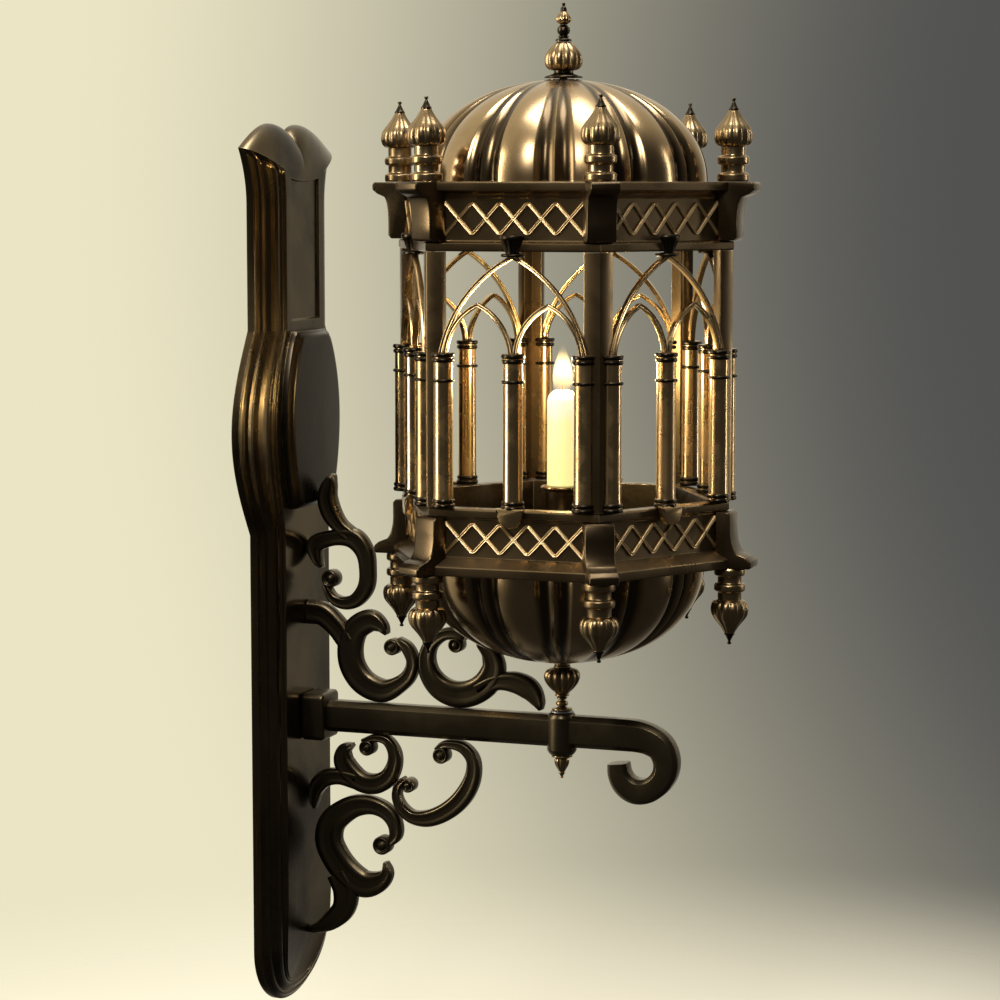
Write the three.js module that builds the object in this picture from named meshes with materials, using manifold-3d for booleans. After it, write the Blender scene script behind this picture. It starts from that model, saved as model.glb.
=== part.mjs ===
// Wall candle lantern: a moulded wall plate, a scrolled arm and a six sided arcaded lantern that
// turns on the end of the arm. Millimetres, +Z up. The origin is on the wall, at the height of the
// arm, and the arm reaches out along -Y.
import * as THREE from 'three';
import { mergeVertices } from 'three/addons/utils/BufferGeometryUtils.js';
import Module from 'manifold-3d';

const wasm = await Module();
wasm.setup();

// Clearances between separate pieces
const SEAT_GAP = 0.3;
const RUN_GAP = 0.4;

// Wall plate
const PLATE_DEPTH = 19.5;
const PLATE_TOP = 451;
const PLATE_BOTTOM = -228;
const PLATE_LOWER_HALF = 64.5;
const PLATE_UPPER_HALF = 65.5;
const PLATE_BULGE_HALF = 96;
const PLATE_SHOULDER_HALF = 79.5;
const FACE_LOWER_HALF = 41;
const FACE_UPPER_HALF = 34;
const FACE_BULGE_HALF = 55;
const FACE_SHOULDER_HALF = 36;
const BULGE_FOOT = 147;
const BULGE_HEAD = 303;
const SHOULDER_DROP = 11;
const SHOULDER_FLARE = 42;
const LOBE_RISE = 9.5;
const FOOT_ROUND = 50;
const FACE_FOOT_ROUND = 66;
const FOOT_DEPTH = 9.75;
const FOOT_STEPS = 8;
const FACE_MARGIN = 17;
const PANEL_HALF = 27;
const PANEL_FOOT = 309;
const PANEL_HEAD = 420;
const PANEL_SINK = 2;
const HOLLOW_HALF = 36;
const HOLLOW_DEPTH = 12;
const HOLLOW_FOOT = -160;
const HOLLOW_HEAD = 415;
const ARM_WEB_HALF = 20;

// Raised shield on the bulge
const SHIELD_DEPTH = 9;
const SHIELD_FOOT_HALF = 33;
const SHIELD_HEAD_HALF = 27.5;
const SHIELD_MID_HALF = 48.5;
const SHIELD_FOOT = 165;
const SHIELD_HEAD = 301;
const SHIELD_BEVEL = 2.5;

// Socket block and arm
const SOCKET_HALF_WIDTH = 16.5;
const SOCKET_HALF_HEIGHT = 18.4;
const SOCKET_DEPTH = 18.7;
const SOCKET_ROUND = 4;
const SOCKET_POCKET = 13;
const ARM_HALF_HEIGHT = 12.2;
const ARM_HALF_WIDTH = 8;
const ARM_CHAMFER = 4;
const WALL_CLEARANCE = 79;
const HOOK_START = 51;
const SCROLL_THICKNESS = 12;
const EYE_RELIEF = 1;
const HOOK_DROP = 52;
const BAR_LAP = 1;

// Swivel at the end of the arm
const BARREL_RADIUS = 11.4;
const BARREL_TOP = 14.2;
const BARREL_DROP = 18.7;
const BARREL_ROUND = 3.5;
const BUSH_RADIUS = 7.6;
const BUSH_FLANGE_RADIUS = 9;
const BUSH_FLANGE_HEIGHT = 1.2;
const SPIGOT_RADIUS = 5;
const THREAD_RADIUS = 3;
const THREAD_LENGTH = 7.6;
const WASHER_RADIUS = 8.2;
const WASHER_HEIGHT = 1.2;
const NUT_RADIUS = 5.9;
const NUT_HEIGHT = 16.4;

// Stem, knop and central rod
const KNOP_FOOT = 29;
const KNOP_HEIGHT = 19.4;
const KNOP_RADIUS = 14;
const KNOP_SEAT_RADIUS = 5;
const KNOP_FLUTES = 10;
const KNOP_FLUTE_DEPTH = 0.09;
const STEM_FOOT_RADIUS = 8;
const STEM_WAIST = 3.6;
const STEM_BEAD = 4.8;
const STEM_RING = 4;
const STEM_COLLAR = 5.7;
const COLLAR_RADIUS = 6.6;
const COLLAR_HEIGHT = 3.2;
const KNOP_CLEARANCE = 1.4;
const ROD_RADIUS = 3.5;
const ROD_NUT_RADIUS = 8;
const ROD_NUT_HEIGHT = 6;
const ROD_STUB = 2;

// Heights of the lantern's parts
const BOWL_DEPTH = 78;
const SILL_HEIGHT = 48.8;
const COLUMN_HEIGHT = 112.2;
const BIG_ARCH_RISE = 69;
const CUP_DROP = 3.7;
const CORNICE_HEIGHT = 49.5;
const DOME_HEIGHT = 76;

// Levels of the lantern, each from the part below it
const SILL_BOTTOM = KNOP_FOOT + KNOP_HEIGHT + COLLAR_HEIGHT + KNOP_CLEARANCE + BOWL_DEPTH;
const SILL_TOP = SILL_BOTTOM + SILL_HEIGHT;
const CORNICE_BOTTOM = SILL_TOP + SEAT_GAP + COLUMN_HEIGHT + BIG_ARCH_RISE + CUP_DROP;
const CORNICE_TOP = CORNICE_BOTTOM + CORNICE_HEIGHT;

// Hexagon sizes, each measured from the axis to a corner. The sill's fascia sets the lantern's width.
const COS30 = Math.cos(Math.PI / 6);
const SILL_FASCIA_R = 129.8;
const FOOT_PROUD = 9.2;
const CORNICE_FOOT_PROUD = 2.2;
const PANEL_RECESS = 2.5;
const SILL_WALL = 11.8;
const CORNICE_PROUD = 6.7;
const CORNICE_WALL = 5.9;
const POST_PROUD = 1.5;
const FINIAL_PROUD = 1;
const SILL_FOOT_R = SILL_FASCIA_R + FOOT_PROUD;
const PANEL_R = SILL_FASCIA_R - PANEL_RECESS;
const SILL_INNER_R = SILL_FASCIA_R - SILL_WALL;
const CORNICE_FASCIA_R = SILL_FASCIA_R + CORNICE_PROUD;
const CORNICE_FOOT_R = SILL_FASCIA_R + CORNICE_FOOT_PROUD;
const CORNICE_INNER_R = PANEL_R - CORNICE_WALL;
const POST_R = SILL_FASCIA_R + POST_PROUD;
const FINIAL_CIRCLE_R = SILL_FASCIA_R + FINIAL_PROUD;

// Heights of the mouldings on the two rails
const SILL_FASCIA = 6;
const SILL_FOOT_FASCIA = 6.8;
const SILL_FLARE = 6;
const CORNICE_FASCIA = 6.7;
const CORNICE_COVE = 4.5;
const CORNICE_FOOT_BAND = 8.3;
const SILL_CHAMFER = 1;
const CORNICE_CHAMFER = 1.5;
const DECK_THICKNESS = 4;

// Lattice wires
const WIRE_HALF = 1;
const WIRE_RELIEF = 1.6;
const LATTICE_MARGIN = 3.4;
const LATTICE_CROSSINGS = 5;
const BRACKET_WIDTH = 21.8;
const LATTICE_GAP = 0.6;
const LATTICE_END = BRACKET_WIDTH / 2 / COS30 + LATTICE_GAP;

// Tray and candle pan
const BOWL_RIM = 17;
const TRAY_FLOOR = SILL_BOTTOM + BOWL_RIM + SEAT_GAP;
const TRAY_WALL = 2.4;
const TRAY_THICKNESS = 3;
const DRUM_RADIUS = 13.5;
const DRUM_WALL = 2;
const DRUM_HEIGHT = 33;
const DISC_RADIUS = 16.5;
const DISC_HEIGHT = 2.5;
const SPIKE_RADIUS = 1.5;
const SPIKE_HEIGHT = 14;
const SPIKE_TAPER = 4;
const CANDLE_RADIUS = 11.6;
const CANDLE_HEIGHT = 72;
const CANDLE_SHOULDER = 6;
const WICK_RADIUS = 0.8;
const WICK_HEIGHT = 7;

// Bowl and dome
const BOWL_MARGIN = 4.2;
const BOWL_NECK_RADIUS = SILL_INNER_R * COS30 - BOWL_MARGIN;
const DOME_MARGIN = 9;
const DOME_RADIUS = CORNICE_FASCIA_R * COS30 - DOME_MARGIN;
const BOWL_RADIUS = DOME_RADIUS;
const SHELL_WALL = 3;
const REBATE_DEPTH = 3.5;
const LOBES = 12;
const GROOVE_DEPTH = 0.05;
const SADDLE_RADIUS = 12;
const OVAL_FULLNESS = 2.06;

// Finials
const DOME_FINIAL_RADIUS = 14.6;
const DOME_FINIAL_HEIGHT = 55.4;
const TOP_FINIAL_HEIGHT = 60.4;
const DROP_FINIAL_HEIGHT = 57.4;
const FINIAL_RADIUS = 14.4;

// Posts, columns and arches
const POST_THICKNESS = 8;
const COLUMN_PLANE = SILL_FASCIA_R * COS30;
const CORNER_TO_COLUMN = 11.65;
const COLUMN_OFFSET = SILL_FASCIA_R / 2 - CORNER_TO_COLUMN;
const LEG_LAP = 0.85;
const POST_LEG = CORNER_TO_COLUMN + LEG_LAP;
const SHAFT_RADIUS = 6.75;
const RING_RADIUS = 8.5;
const RING_WAIST = 1.4;
const BASE_RING = 3.4;
const CAPITAL_NECK = 12;
const NECK_RING = 2;
const NOTCH_MARGIN = 0.4;
const ARCH_HALF = 1.6;
const ARCH_DEPTH = 4.6;
const BIG_ARCH_RADIUS = 101;
const SMALL_ARCH_RISE = 34.5;
const SMALL_ARCH_RADIUS = 42.3;
const SPRING_OFFSET = 1.7;
const SPRING_BITE = 1;
const CUP_TOP_RADIUS = 9.4;
const CUP_FOOT_RADIUS = 5.2;
const CUP_DISC_RADIUS = 8.7;
const CUP_DISC = 2.2;
const CUP_STEP = 0.6;
const CUP_LIP = 3;
const CUP_HEIGHT = 16;
const CORBEL_TOP_HALF = 9.7;
const CORBEL_FOOT_HALF = 4.6;
const CORBEL_WAIST_HALF = 8.1;
const CORBEL_LIP = 5;
const CORBEL_HEIGHT = 14.2;
const CORBEL_REACH = 8.9;

// Corner brackets
const BRACKET_PROUD = 20.2;
const BRACKET_BITE = 7.6;
const BRACKET_NOSE_ROUND = 4.2;
const BRACKET_LIP = 1;
const BRACKET_CHAMFER = 2;
const BRACKET_COVE_HEIGHT = 21;
const LOWER_FACE_PROUD = 3.8;
const BRACKET_NOSE_R = SILL_FASCIA_R + BRACKET_PROUD;
const BRACKET_ROOT_R = SILL_FASCIA_R - BRACKET_BITE;
const UPPER_FACE_R = CORNICE_FASCIA_R;
const LOWER_FACE_R = SILL_FASCIA_R + LOWER_FACE_PROUD;
const UPPER_BRACKET_HEIGHT = 42.5;
const LOWER_BRACKET_HEIGHT = 42;

// The lantern turns clear of the scrolls, so its widest corner sets how far the arm reaches.
const LANTERN_REACH = BRACKET_NOSE_R + WALL_CLEARANCE;

// Colours, roughness and metalness
const finishes = {
  brass: [0x9a7440, 0.32, 1],
  column: [0xb08a4c, 0.36, 1],
  bronze: [0x3a3226, 0.42, 1],
  plate: [0x332a1e, 0.36, 1],
  steel: [0x9a9a98, 0.35, 1],
  wax: [0xf4e6a2, 0.5, 0],
};

const SIXTH = Math.PI / 3;

function finish(name) {
  const [color, roughness, metalness] = finishes[name];
  return new THREE.MeshStandardMaterial({ color, roughness, metalness });
}

// A closed geometry becomes a solid; a mesh wound inside out is turned first.
function solid(geometry) {
  const bare = geometry.clone();
  for (const name of Object.keys(bare.attributes)) {
    if (name !== 'position') bare.deleteAttribute(name);
  }
  const merged = mergeVertices(bare, 1e-4);
  const vertProperties = new Float32Array(merged.attributes.position.array);
  const indices = [];
  const old = merged.index.array;
  for (let i = 0; i < old.length; i += 3) {
    const [a, b, c] = [old[i], old[i + 1], old[i + 2]];
    if (a !== b && b !== c && a !== c) indices.push(a, b, c);
  }
  if (signedVolume(vertProperties, indices) < 0) indices.reverse();
  const triVerts = new Uint32Array(indices);
  return new wasm.Manifold(new wasm.Mesh({ numProp: 3, vertProperties, triVerts }));
}

function signedVolume(points, indices) {
  const a = new THREE.Vector3();
  const b = new THREE.Vector3();
  const c = new THREE.Vector3();
  let volume = 0;
  for (let i = 0; i < indices.length; i += 3) {
    a.fromArray(points, indices[i] * 3);
    b.fromArray(points, indices[i + 1] * 3);
    c.fromArray(points, indices[i + 2] * 3);
    volume += a.dot(b.cross(c)) / 6;
  }
  return volume;
}

function geometryOf(manifold) {
  const { vertProperties, triVerts } = manifold.getMesh();
  const geometry = new THREE.BufferGeometry();
  geometry.setAttribute('position', new THREE.BufferAttribute(vertProperties, 3));
  geometry.setIndex(new THREE.BufferAttribute(triVerts, 1));
  const flat = geometry.toNonIndexed();
  flat.computeVertexNormals();
  return flat;
}

function join(...solids) {
  return solids.reduce((whole, next) => whole.add(next));
}

function piece(name, manifold, finishName) {
  const mesh = new THREE.Mesh(geometryOf(manifold), finish(finishName));
  mesh.name = name;
  return mesh;
}

// A turned piece about Z. The profile is a list of [radius, height] pairs.
function turned(profile, segments) {
  const points = profile.map(([r, z]) => new THREE.Vector2(Math.max(r, 0), z));
  return new THREE.LatheGeometry(points, segments).rotateX(Math.PI / 2);
}

// A turned profile that closes on the axis at both ends
function turnedSolid(profile, segments) {
  const first = [0, profile[0][1]];
  const last = [0, profile[profile.length - 1][1]];
  return solid(turned([first, ...profile, last], segments));
}

// A turned ring: the profile runs round its section and closes on itself.
function turnedRing(profile, segments) {
  return solid(turned([...profile, profile[0]], segments));
}

function cylinder(radius, bottom, top, segments = 24) {
  return turnedSolid([[radius, bottom], [radius, top]], segments);
}

// A flat outline in the plane of the arm, [distance from the wall, height], is thickened along X.
function armPlate(points, thickness, bevel = 0) {
  const shape = new THREE.Shape(points.map(([out, up]) => new THREE.Vector2(out, up)));
  const geometry = new THREE.ExtrudeGeometry(shape, {
    depth: thickness - 2 * bevel,
    bevelEnabled: bevel > 0,
    bevelThickness: bevel,
    bevelSize: bevel,
    bevelOffset: -bevel,
    bevelSegments: 1,
    curveSegments: 6,
  });
  geometry.translate(0, 0, -(thickness - 2 * bevel) / 2);
  geometry.applyMatrix4(new THREE.Matrix4().set(0, 0, 1, 0, -1, 0, 0, 0, 0, 1, 0, 0, 0, 0, 0, 1));
  return solid(geometry);
}

// The outline of a tapering stroke: a smooth line through [x, y, half width] points
function strokeOutline(points, stepsPerSpan = 2) {
  const line = new THREE.CatmullRomCurve3(points.map((p) => new THREE.Vector3(...p)), false, 'centripetal');
  const count = (points.length - 1) * stepsPerSpan;
  const left = [];
  const right = [];
  for (let i = 0; i <= count; i += 1) {
    const at = line.getPoint(i / count);
    const along = line.getTangent(i / count);
    const length = Math.hypot(along.x, along.y);
    const across = [-along.y / length * at.z, along.x / length * at.z];
    left.push([at.x + across[0], at.y + across[1]]);
    right.push([at.x - across[0], at.y - across[1]]);
  }
  return [...left, ...right.reverse()];
}

// An outline on one side of the lantern, [along the side, height], is thickened outwards along -Y.
function sidePlate(points, innerFace, outerFace) {
  const shape = new THREE.Shape(points.map(([along, up]) => new THREE.Vector2(along, up)));
  const geometry = new THREE.ExtrudeGeometry(shape, {
    depth: outerFace - innerFace,
    bevelEnabled: false,
  });
  geometry.rotateX(Math.PI / 2);
  return solid(geometry.translate(0, -innerFace, 0));
}

// Wall plate: two outlines, one on the wall and one on the front face, joined by the moulding.
function plateStations() {
  const stations = [];
  for (let i = 0; i <= FOOT_STEPS; i += 1) {
    const turn = (i / FOOT_STEPS) * Math.PI / 2;
    const wide = Math.sin(turn);
    const drop = 1 - Math.cos(turn);
    stations.push([
      PLATE_LOWER_HALF * wide, PLATE_BOTTOM + FOOT_ROUND * drop,
      FACE_LOWER_HALF * wide ** 0.7, PLATE_BOTTOM + FACE_MARGIN + FACE_FOOT_ROUND * drop,
    ]);
  }
  const bulgeSteps = 12;
  for (let i = 0; i <= bulgeSteps; i += 1) {
    const t = i / bulgeSteps;
    const up = THREE.MathUtils.lerp(BULGE_FOOT, BULGE_HEAD, t);
    const swell = Math.sin(Math.PI * t);
    const wall = THREE.MathUtils.lerp(PLATE_LOWER_HALF, PLATE_UPPER_HALF, t);
    const face = THREE.MathUtils.lerp(FACE_LOWER_HALF, FACE_UPPER_HALF, t);
    stations.push([
      THREE.MathUtils.lerp(wall, PLATE_BULGE_HALF, swell), up,
      THREE.MathUtils.lerp(face, FACE_BULGE_HALF, swell), up,
    ]);
  }
  const shoulder = PLATE_TOP - SHOULDER_DROP;
  const flareSteps = 4;
  for (let i = 0; i < flareSteps; i += 1) {
    const t = i / flareSteps;
    const up = shoulder - SHOULDER_FLARE * (1 - t);
    stations.push([
      THREE.MathUtils.lerp(PLATE_UPPER_HALF, PLATE_SHOULDER_HALF, t * t), up,
      THREE.MathUtils.lerp(FACE_UPPER_HALF, FACE_SHOULDER_HALF, t * t), up - FACE_MARGIN * t,
    ]);
  }
  const lobeSteps = 9;
  for (let i = 0; i <= lobeSteps; i += 1) {
    const across = 1 - i / lobeSteps;
    const lobe = Math.sin(Math.PI * across ** 0.75);
    const up = PLATE_TOP - SHOULDER_DROP * across ** 2 + LOBE_RISE * lobe;
    stations.push([PLATE_SHOULDER_HALF * across, up, FACE_SHOULDER_HALF * across, up - FACE_MARGIN]);
  }
  return stations;
}

// The moulding's section: share of the way from the wall outline to the face outline, and depth
const moulding = [
  [0, 0], [0, 0.19], [0.12, 0.28], [0.24, 0.5], [0.55, 0.68], [0.85, 0.9], [1, 1],
];

function wallPlate() {
  const right = plateStations();
  const depthAt = (station) => {
    const turn = Math.min(station / FOOT_STEPS, 1) * Math.PI / 2;
    return THREE.MathUtils.lerp(FOOT_DEPTH, PLATE_DEPTH, Math.sin(turn) ** 2);
  };
  const left = right.slice(1, -1).reverse().map(([wx, wz, fx, fz]) => [-wx, wz, -fx, fz]);
  const loop = [...right, ...left];
  const corners = [];
  const count = loop.length;
  for (const [share, depth] of moulding) {
    loop.forEach(([wx, wz, fx, fz], i) => {
      const x = THREE.MathUtils.lerp(wx, fx, share);
      const z = THREE.MathUtils.lerp(wz, fz, share);
      corners.push(x, -depthAt(Math.min(i, count - i)) * depth, z);
    });
  }
  const faces = [];
  for (let level = 0; level < moulding.length - 1; level += 1) {
    for (let i = 0; i < count; i += 1) {
      const a = level * count + i;
      const b = level * count + (i + 1) % count;
      faces.push(a, b, b + count, a, b + count, a + count);
    }
  }
  const wallLine = loop.map(([wx, wz]) => new THREE.Vector2(wx, wz));
  const front = loop.slice(FOOT_STEPS, count - FOOT_STEPS + 1);
  const faceLine = front.map(([, , fx, fz]) => new THREE.Vector2(fx, fz));
  const top = (moulding.length - 1) * count;
  for (const [a, b, c] of THREE.ShapeUtils.triangulateShape(wallLine, [])) faces.push(a, c, b);
  for (const corner of THREE.ShapeUtils.triangulateShape(faceLine, []).flat()) {
    faces.push(top + FOOT_STEPS + corner);
  }
  for (let i = 0; i < FOOT_STEPS; i += 1) {
    const across = top + count - i;
    faces.push(top + i, top + i + 1, across - 1);
    if (i > 0) faces.push(top + i, across - 1, across);
  }
  const geometry = new THREE.BufferGeometry();
  geometry.setAttribute('position', new THREE.Float32BufferAttribute(corners, 3));
  geometry.setIndex(faces);
  const recess = new THREE.BoxGeometry(2 * PANEL_HALF, 2 * PANEL_SINK, PANEL_HEAD - PANEL_FOOT);
  recess.translate(0, -PLATE_DEPTH, (PANEL_HEAD + PANEL_FOOT) / 2);
  const hollows = [[HOLLOW_FOOT, -ARM_WEB_HALF], [ARM_WEB_HALF, HOLLOW_HEAD]].map(([foot, head]) => {
    const hollow = new THREE.BoxGeometry(2 * HOLLOW_HALF, 2 * HOLLOW_DEPTH, head - foot);
    return solid(hollow.translate(0, 0, (foot + head) / 2));
  });
  return solid(geometry).subtract(join(solid(recess), ...hollows));
}

function plateShield() {
  const side = [];
  const steps = 8;
  for (let i = 0; i <= steps; i += 1) {
    const t = i / steps;
    const end = THREE.MathUtils.lerp(SHIELD_FOOT_HALF, SHIELD_HEAD_HALF, t);
    const half = THREE.MathUtils.lerp(end, SHIELD_MID_HALF, Math.sin(Math.PI * t) ** 0.7);
    side.push([half, THREE.MathUtils.lerp(SHIELD_FOOT, SHIELD_HEAD, t)]);
  }
  const outline = [...side, ...side.map(([x, z]) => [-x, z]).reverse()];
  const shape = new THREE.Shape(outline.map(([x, z]) => new THREE.Vector2(x, z)));
  const geometry = new THREE.ExtrudeGeometry(shape, {
    depth: SHIELD_DEPTH - SHIELD_BEVEL,
    bevelThickness: SHIELD_BEVEL,
    bevelSize: SHIELD_BEVEL,
    bevelOffset: -SHIELD_BEVEL,
    bevelSegments: 2,
  });
  geometry.rotateX(Math.PI / 2);
  geometry.translate(0, -PLATE_DEPTH - SEAT_GAP, 0);
  const behind = new THREE.BoxGeometry(4 * SHIELD_MID_HALF, PLATE_DEPTH, 2 * SHIELD_HEAD);
  behind.translate(0, -PLATE_DEPTH / 2 - SEAT_GAP, SHIELD_HEAD / 2);
  return solid(geometry).subtract(solid(behind));
}

// A block with rounded long edges, from y = -near to y = -far
function roundedBlock(halfWidth, halfHeight, round, near, far) {
  const shape = new THREE.Shape();
  const [w, h, r] = [halfWidth, halfHeight, round];
  shape.moveTo(-w + r, -h).lineTo(w - r, -h);
  shape.absarc(w - r, -h + r, r, -Math.PI / 2, 0);
  shape.absarc(w - r, h - r, r, 0, Math.PI / 2);
  shape.absarc(-w + r, h - r, r, Math.PI / 2, Math.PI);
  shape.absarc(-w + r, -h + r, r, Math.PI, Math.PI * 1.5);
  const geometry = new THREE.ExtrudeGeometry(shape, {
    depth: far - near - round / 2,
    bevelThickness: round / 2,
    bevelSize: round / 2,
    bevelOffset: -round / 2,
    bevelSegments: 1,
    curveSegments: 3,
  });
  geometry.rotateX(Math.PI / 2).translate(0, -near, 0);
  const behind = new THREE.BoxGeometry(4 * halfWidth, near, 4 * halfHeight).translate(0, -near / 2, 0);
  return solid(geometry).subtract(solid(behind));
}

function armBar(near, far, grow) {
  const [w, h, c] = [ARM_HALF_WIDTH + grow, ARM_HALF_HEIGHT + grow, ARM_CHAMFER];
  const section = [
    [w, c - h], [w, h - c], [w - c, h], [c - w, h], [-w, h - c], [-w, c - h], [c - w, -h], [w - c, -h],
  ];
  const shape = new THREE.Shape(section.map(([x, z]) => new THREE.Vector2(x, z)));
  const geometry = new THREE.ExtrudeGeometry(shape, { depth: far - near, bevelEnabled: false });
  return solid(geometry.rotateX(Math.PI / 2).translate(0, -near, 0));
}

const socketSeat = PLATE_DEPTH + SEAT_GAP;
const socketFace = socketSeat + SOCKET_DEPTH;
const armRoot = socketFace - SOCKET_POCKET;

function armSocket() {
  const block = roundedBlock(SOCKET_HALF_WIDTH, SOCKET_HALF_HEIGHT, SOCKET_ROUND, socketSeat, socketFace);
  return block.subtract(armBar(armRoot - SEAT_GAP, socketFace + SOCKET_DEPTH, SEAT_GAP));
}

// The hook's centre line past the end of the bar, in hundredths of the drop of its curl: [distance out,
// height, half width]
const hookLine = [
  [17.31, -0.77, 23.08], [36.54, -5, 21.92], [53.08, -15, 20.58], [61.54, -32.69, 19.04],
  [60.58, -51.92, 17.69], [50, -69.23, 17.12], [33.65, -80, 17.69], [15.38, -81.54, 18.46],
  [0, -73.08, 17.69], [-8.46, -58.65, 16.15], [-10.77, -42.31, 14.62],
];

// A drawing in hundredths of a run and a rise, at its real size
function drawn(points, run, rise) {
  return points.map(([out, up, size]) => [out * run / 100, up * rise / 100, size * run / 100]);
}

function arm() {
  const barEnd = LANTERN_REACH + HOOK_START;
  const bar = armBar(armRoot, barEnd + BAR_LAP, 0);
  const curl = drawn(hookLine, HOOK_DROP, HOOK_DROP).map(([out, up, half]) => [barEnd + out, up, half]);
  const line = [[barEnd, 0, ARM_HALF_HEIGHT], ...curl];
  const hook = armPlate(strokeOutline(line, 1), 2 * ARM_HALF_WIDTH, ARM_CHAMFER);
  const barrel = turnedSolid([
    [BARREL_RADIUS - BARREL_ROUND, -BARREL_DROP],
    [BARREL_RADIUS, -BARREL_DROP + BARREL_ROUND],
    [BARREL_RADIUS, BARREL_TOP - BARREL_ROUND],
    [BARREL_RADIUS - BARREL_ROUND / 2, BARREL_TOP],
  ], 24).translate(0, -LANTERN_REACH, 0);
  const bore = cylinder(BUSH_RADIUS + SEAT_GAP, -2 * BARREL_DROP, 2 * BARREL_DROP);
  return join(bar, hook, barrel).subtract(bore.translate(0, -LANTERN_REACH, 0));
}

// Scrolls: strokes of [distance from the plate, distance from the arm, half width] and rolled ends
// of [distance from the plate, distance from the arm, radius]. Distances from the arm are hundredths of
// the height from the bar to the sill, and the rest are hundredths of a run along the arm. The upright
// scroll keeps to the room that the turning lantern leaves, and the others share the arm's length.
const uprightRun = WALL_CLEARANCE - PLATE_DEPTH;
const armRun = LANTERN_REACH - PLATE_DEPTH;
const scrollRise = SILL_BOTTOM - ARM_HALF_HEIGHT;
const scrolls = [
  {
    above: true,
    run: uprightRun,
    strokes: [
      [[25.89, 76.26, 4.37], [35.67, 67.76, 6.72], [50.63, 64.65, 8.24], [68.06, 66.67, 9.41],
        [82.52, 75.76, 10.58], [84.88, 87.54, 10.76], [80.84, 98.99, 12.1],
        [65.55, 107.41, 13.45], [38.65, 107.41, 10.42], [10.9, 101.85, 11.4], [10.72, 91.75, 6.72],
        [18.7, 87.2, 2.02]],
      [[61.34, 109.43, 10.93], [44.64, 115.32, 10.93], [33.47, 123.74, 13.45],
        [28.5, 133.84, 13], [35.46, 143.1, 8.4], [40.25, 148.99, 4.71]],
    ],
    rolls: [[33.87, 80.47, 11.6]],
  },
  {
    above: true,
    run: armRun,
    strokes: [
      [[36.28, 42.43, 1.24], [39.95, 36.88, 2.29], [42, 28.28, 2.34], [40.43, 19.02, 2.72],
        [36.13, 12.29, 3.25], [30.16, 7.92, 4.3], [22.43, 12.63, 4.78], [17.71, 24.07, 4.87],
        [17.14, 37.55, 4.78], [19.66, 48.32, 4.53], [25.25, 53.7, 4.2], [29.64, 50.68, 2.57],
        [31.84, 45.45, 0.86]],
      [[0, 57.65, 4.49], [5.59, 56.91, 4.39], [11.2, 49.66, 4.11], [15.99, 38.72, 3.82]],
    ],
    rolls: [[34.17, 37.55, 3.05]],
  },
  {
    above: true,
    run: armRun,
    strokes: [
      [[62.77, 45.45, 1.24], [59.05, 48.49, 2.19], [54.03, 47.14, 2.29], [49.26, 40.4, 2.62],
        [47.59, 31.56, 3.15], [48.54, 21.55, 3.82], [52.37, 13.13, 4.44], [58.29, 8.75, 4.78],
        [64.97, 10.09, 4.87], [70.69, 16.84, 4.78], [73.75, 27.44, 4.39], [72.22, 37.03, 3.34],
        [68.79, 42.59, 1.72], [67.35, 45.12, 0.58]],
      [[68.02, 11.44, 3.82], [74.71, 18.19, 3.05], [81.96, 18.69, 3.82], [87.59, 14.65, 3.91],
        [90.93, 7.07, 2.39], [91.98, 1.35, 0.67]],
    ],
    rolls: [[59.38, 41.24, 2.82]],
  },
  {
    above: false,
    run: armRun,
    strokes: [
      [[22.05, -5.56, 1.14], [26.78, -2.52, 1.43], [31.6, -3.71, 1.86], [34.42, -10.61, 2.39],
        [34.65, -18.52, 2.77], [32.08, -28.11, 3.34], [27.31, -33.17, 3.72], [21.57, -32.67, 3.82],
        [16.94, -26.94, 4.01], [14.04, -19.02, 3.72], [14.72, -11.79, 2.57], [17.9, -8.25, 0.96]],
      [[19.33, -31.99, 3.34], [12.11, -29.97, 3.05], [6.1, -32.49, 3.25], [2.7, -39.9, 2.77],
        [2.1, -47.14, 1.81], [2.36, -52.53, 0.58]],
    ],
    rolls: [[24.01, -9.18, 2.96]],
  },
  {
    above: false,
    run: armRun,
    strokes: [
      [[32.55, -72.39, 1.43], [34.94, -66.5, 2.39], [34.65, -58.93, 2.77], [31.6, -51.77, 3.05],
        [26.35, -47.97, 3.34], [20.14, -48.4, 4.01], [14.77, -52.61, 4.53], [9.11, -61.86, 5.06],
        [7.86, -73.23, 5.34], [10.53, -84.17, 5.44], [15.85, -95.11, 5.44], [22.05, -101.02, 5.11],
        [27.79, -98.91, 4.01], [31.36, -92.6, 2.39], [30.89, -85.02, 0.96]],
      [[11.38, -95.11, 4.3], [14.49, -106.9, 4.78], [13.64, -118.69, 4.3], [8.54, -127.95, 3.53],
        [3.05, -133.34, 1.91], [-1.7, -135.18, 0.96]],
    ],
    rolls: [[29.83, -73.65, 3.48]],
  },
  {
    above: false,
    run: armRun,
    strokes: [
      [[51.41, -7.58, 1.05], [54.03, -4.12, 1.43], [57.86, -3.54, 1.72], [62.15, -5.47, 2.19],
        [65.49, -12.2, 2.49], [65.73, -21.88, 2.87], [63.34, -32.82, 3.34], [59.05, -42.5, 3.43],
        [53.08, -50.08, 3.34], [46.88, -53.87, 3.05], [41.39, -53.2, 2.49], [37.33, -47.56, 2.19],
        [35.52, -39.98, 1.81], [36.38, -32.41, 1.53], [38.75, -28.63, 1.14]],
    ],
    rolls: [[53.41, -10.85, 3.05], [40.33, -32.32, 2.67]],
  },
];

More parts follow.
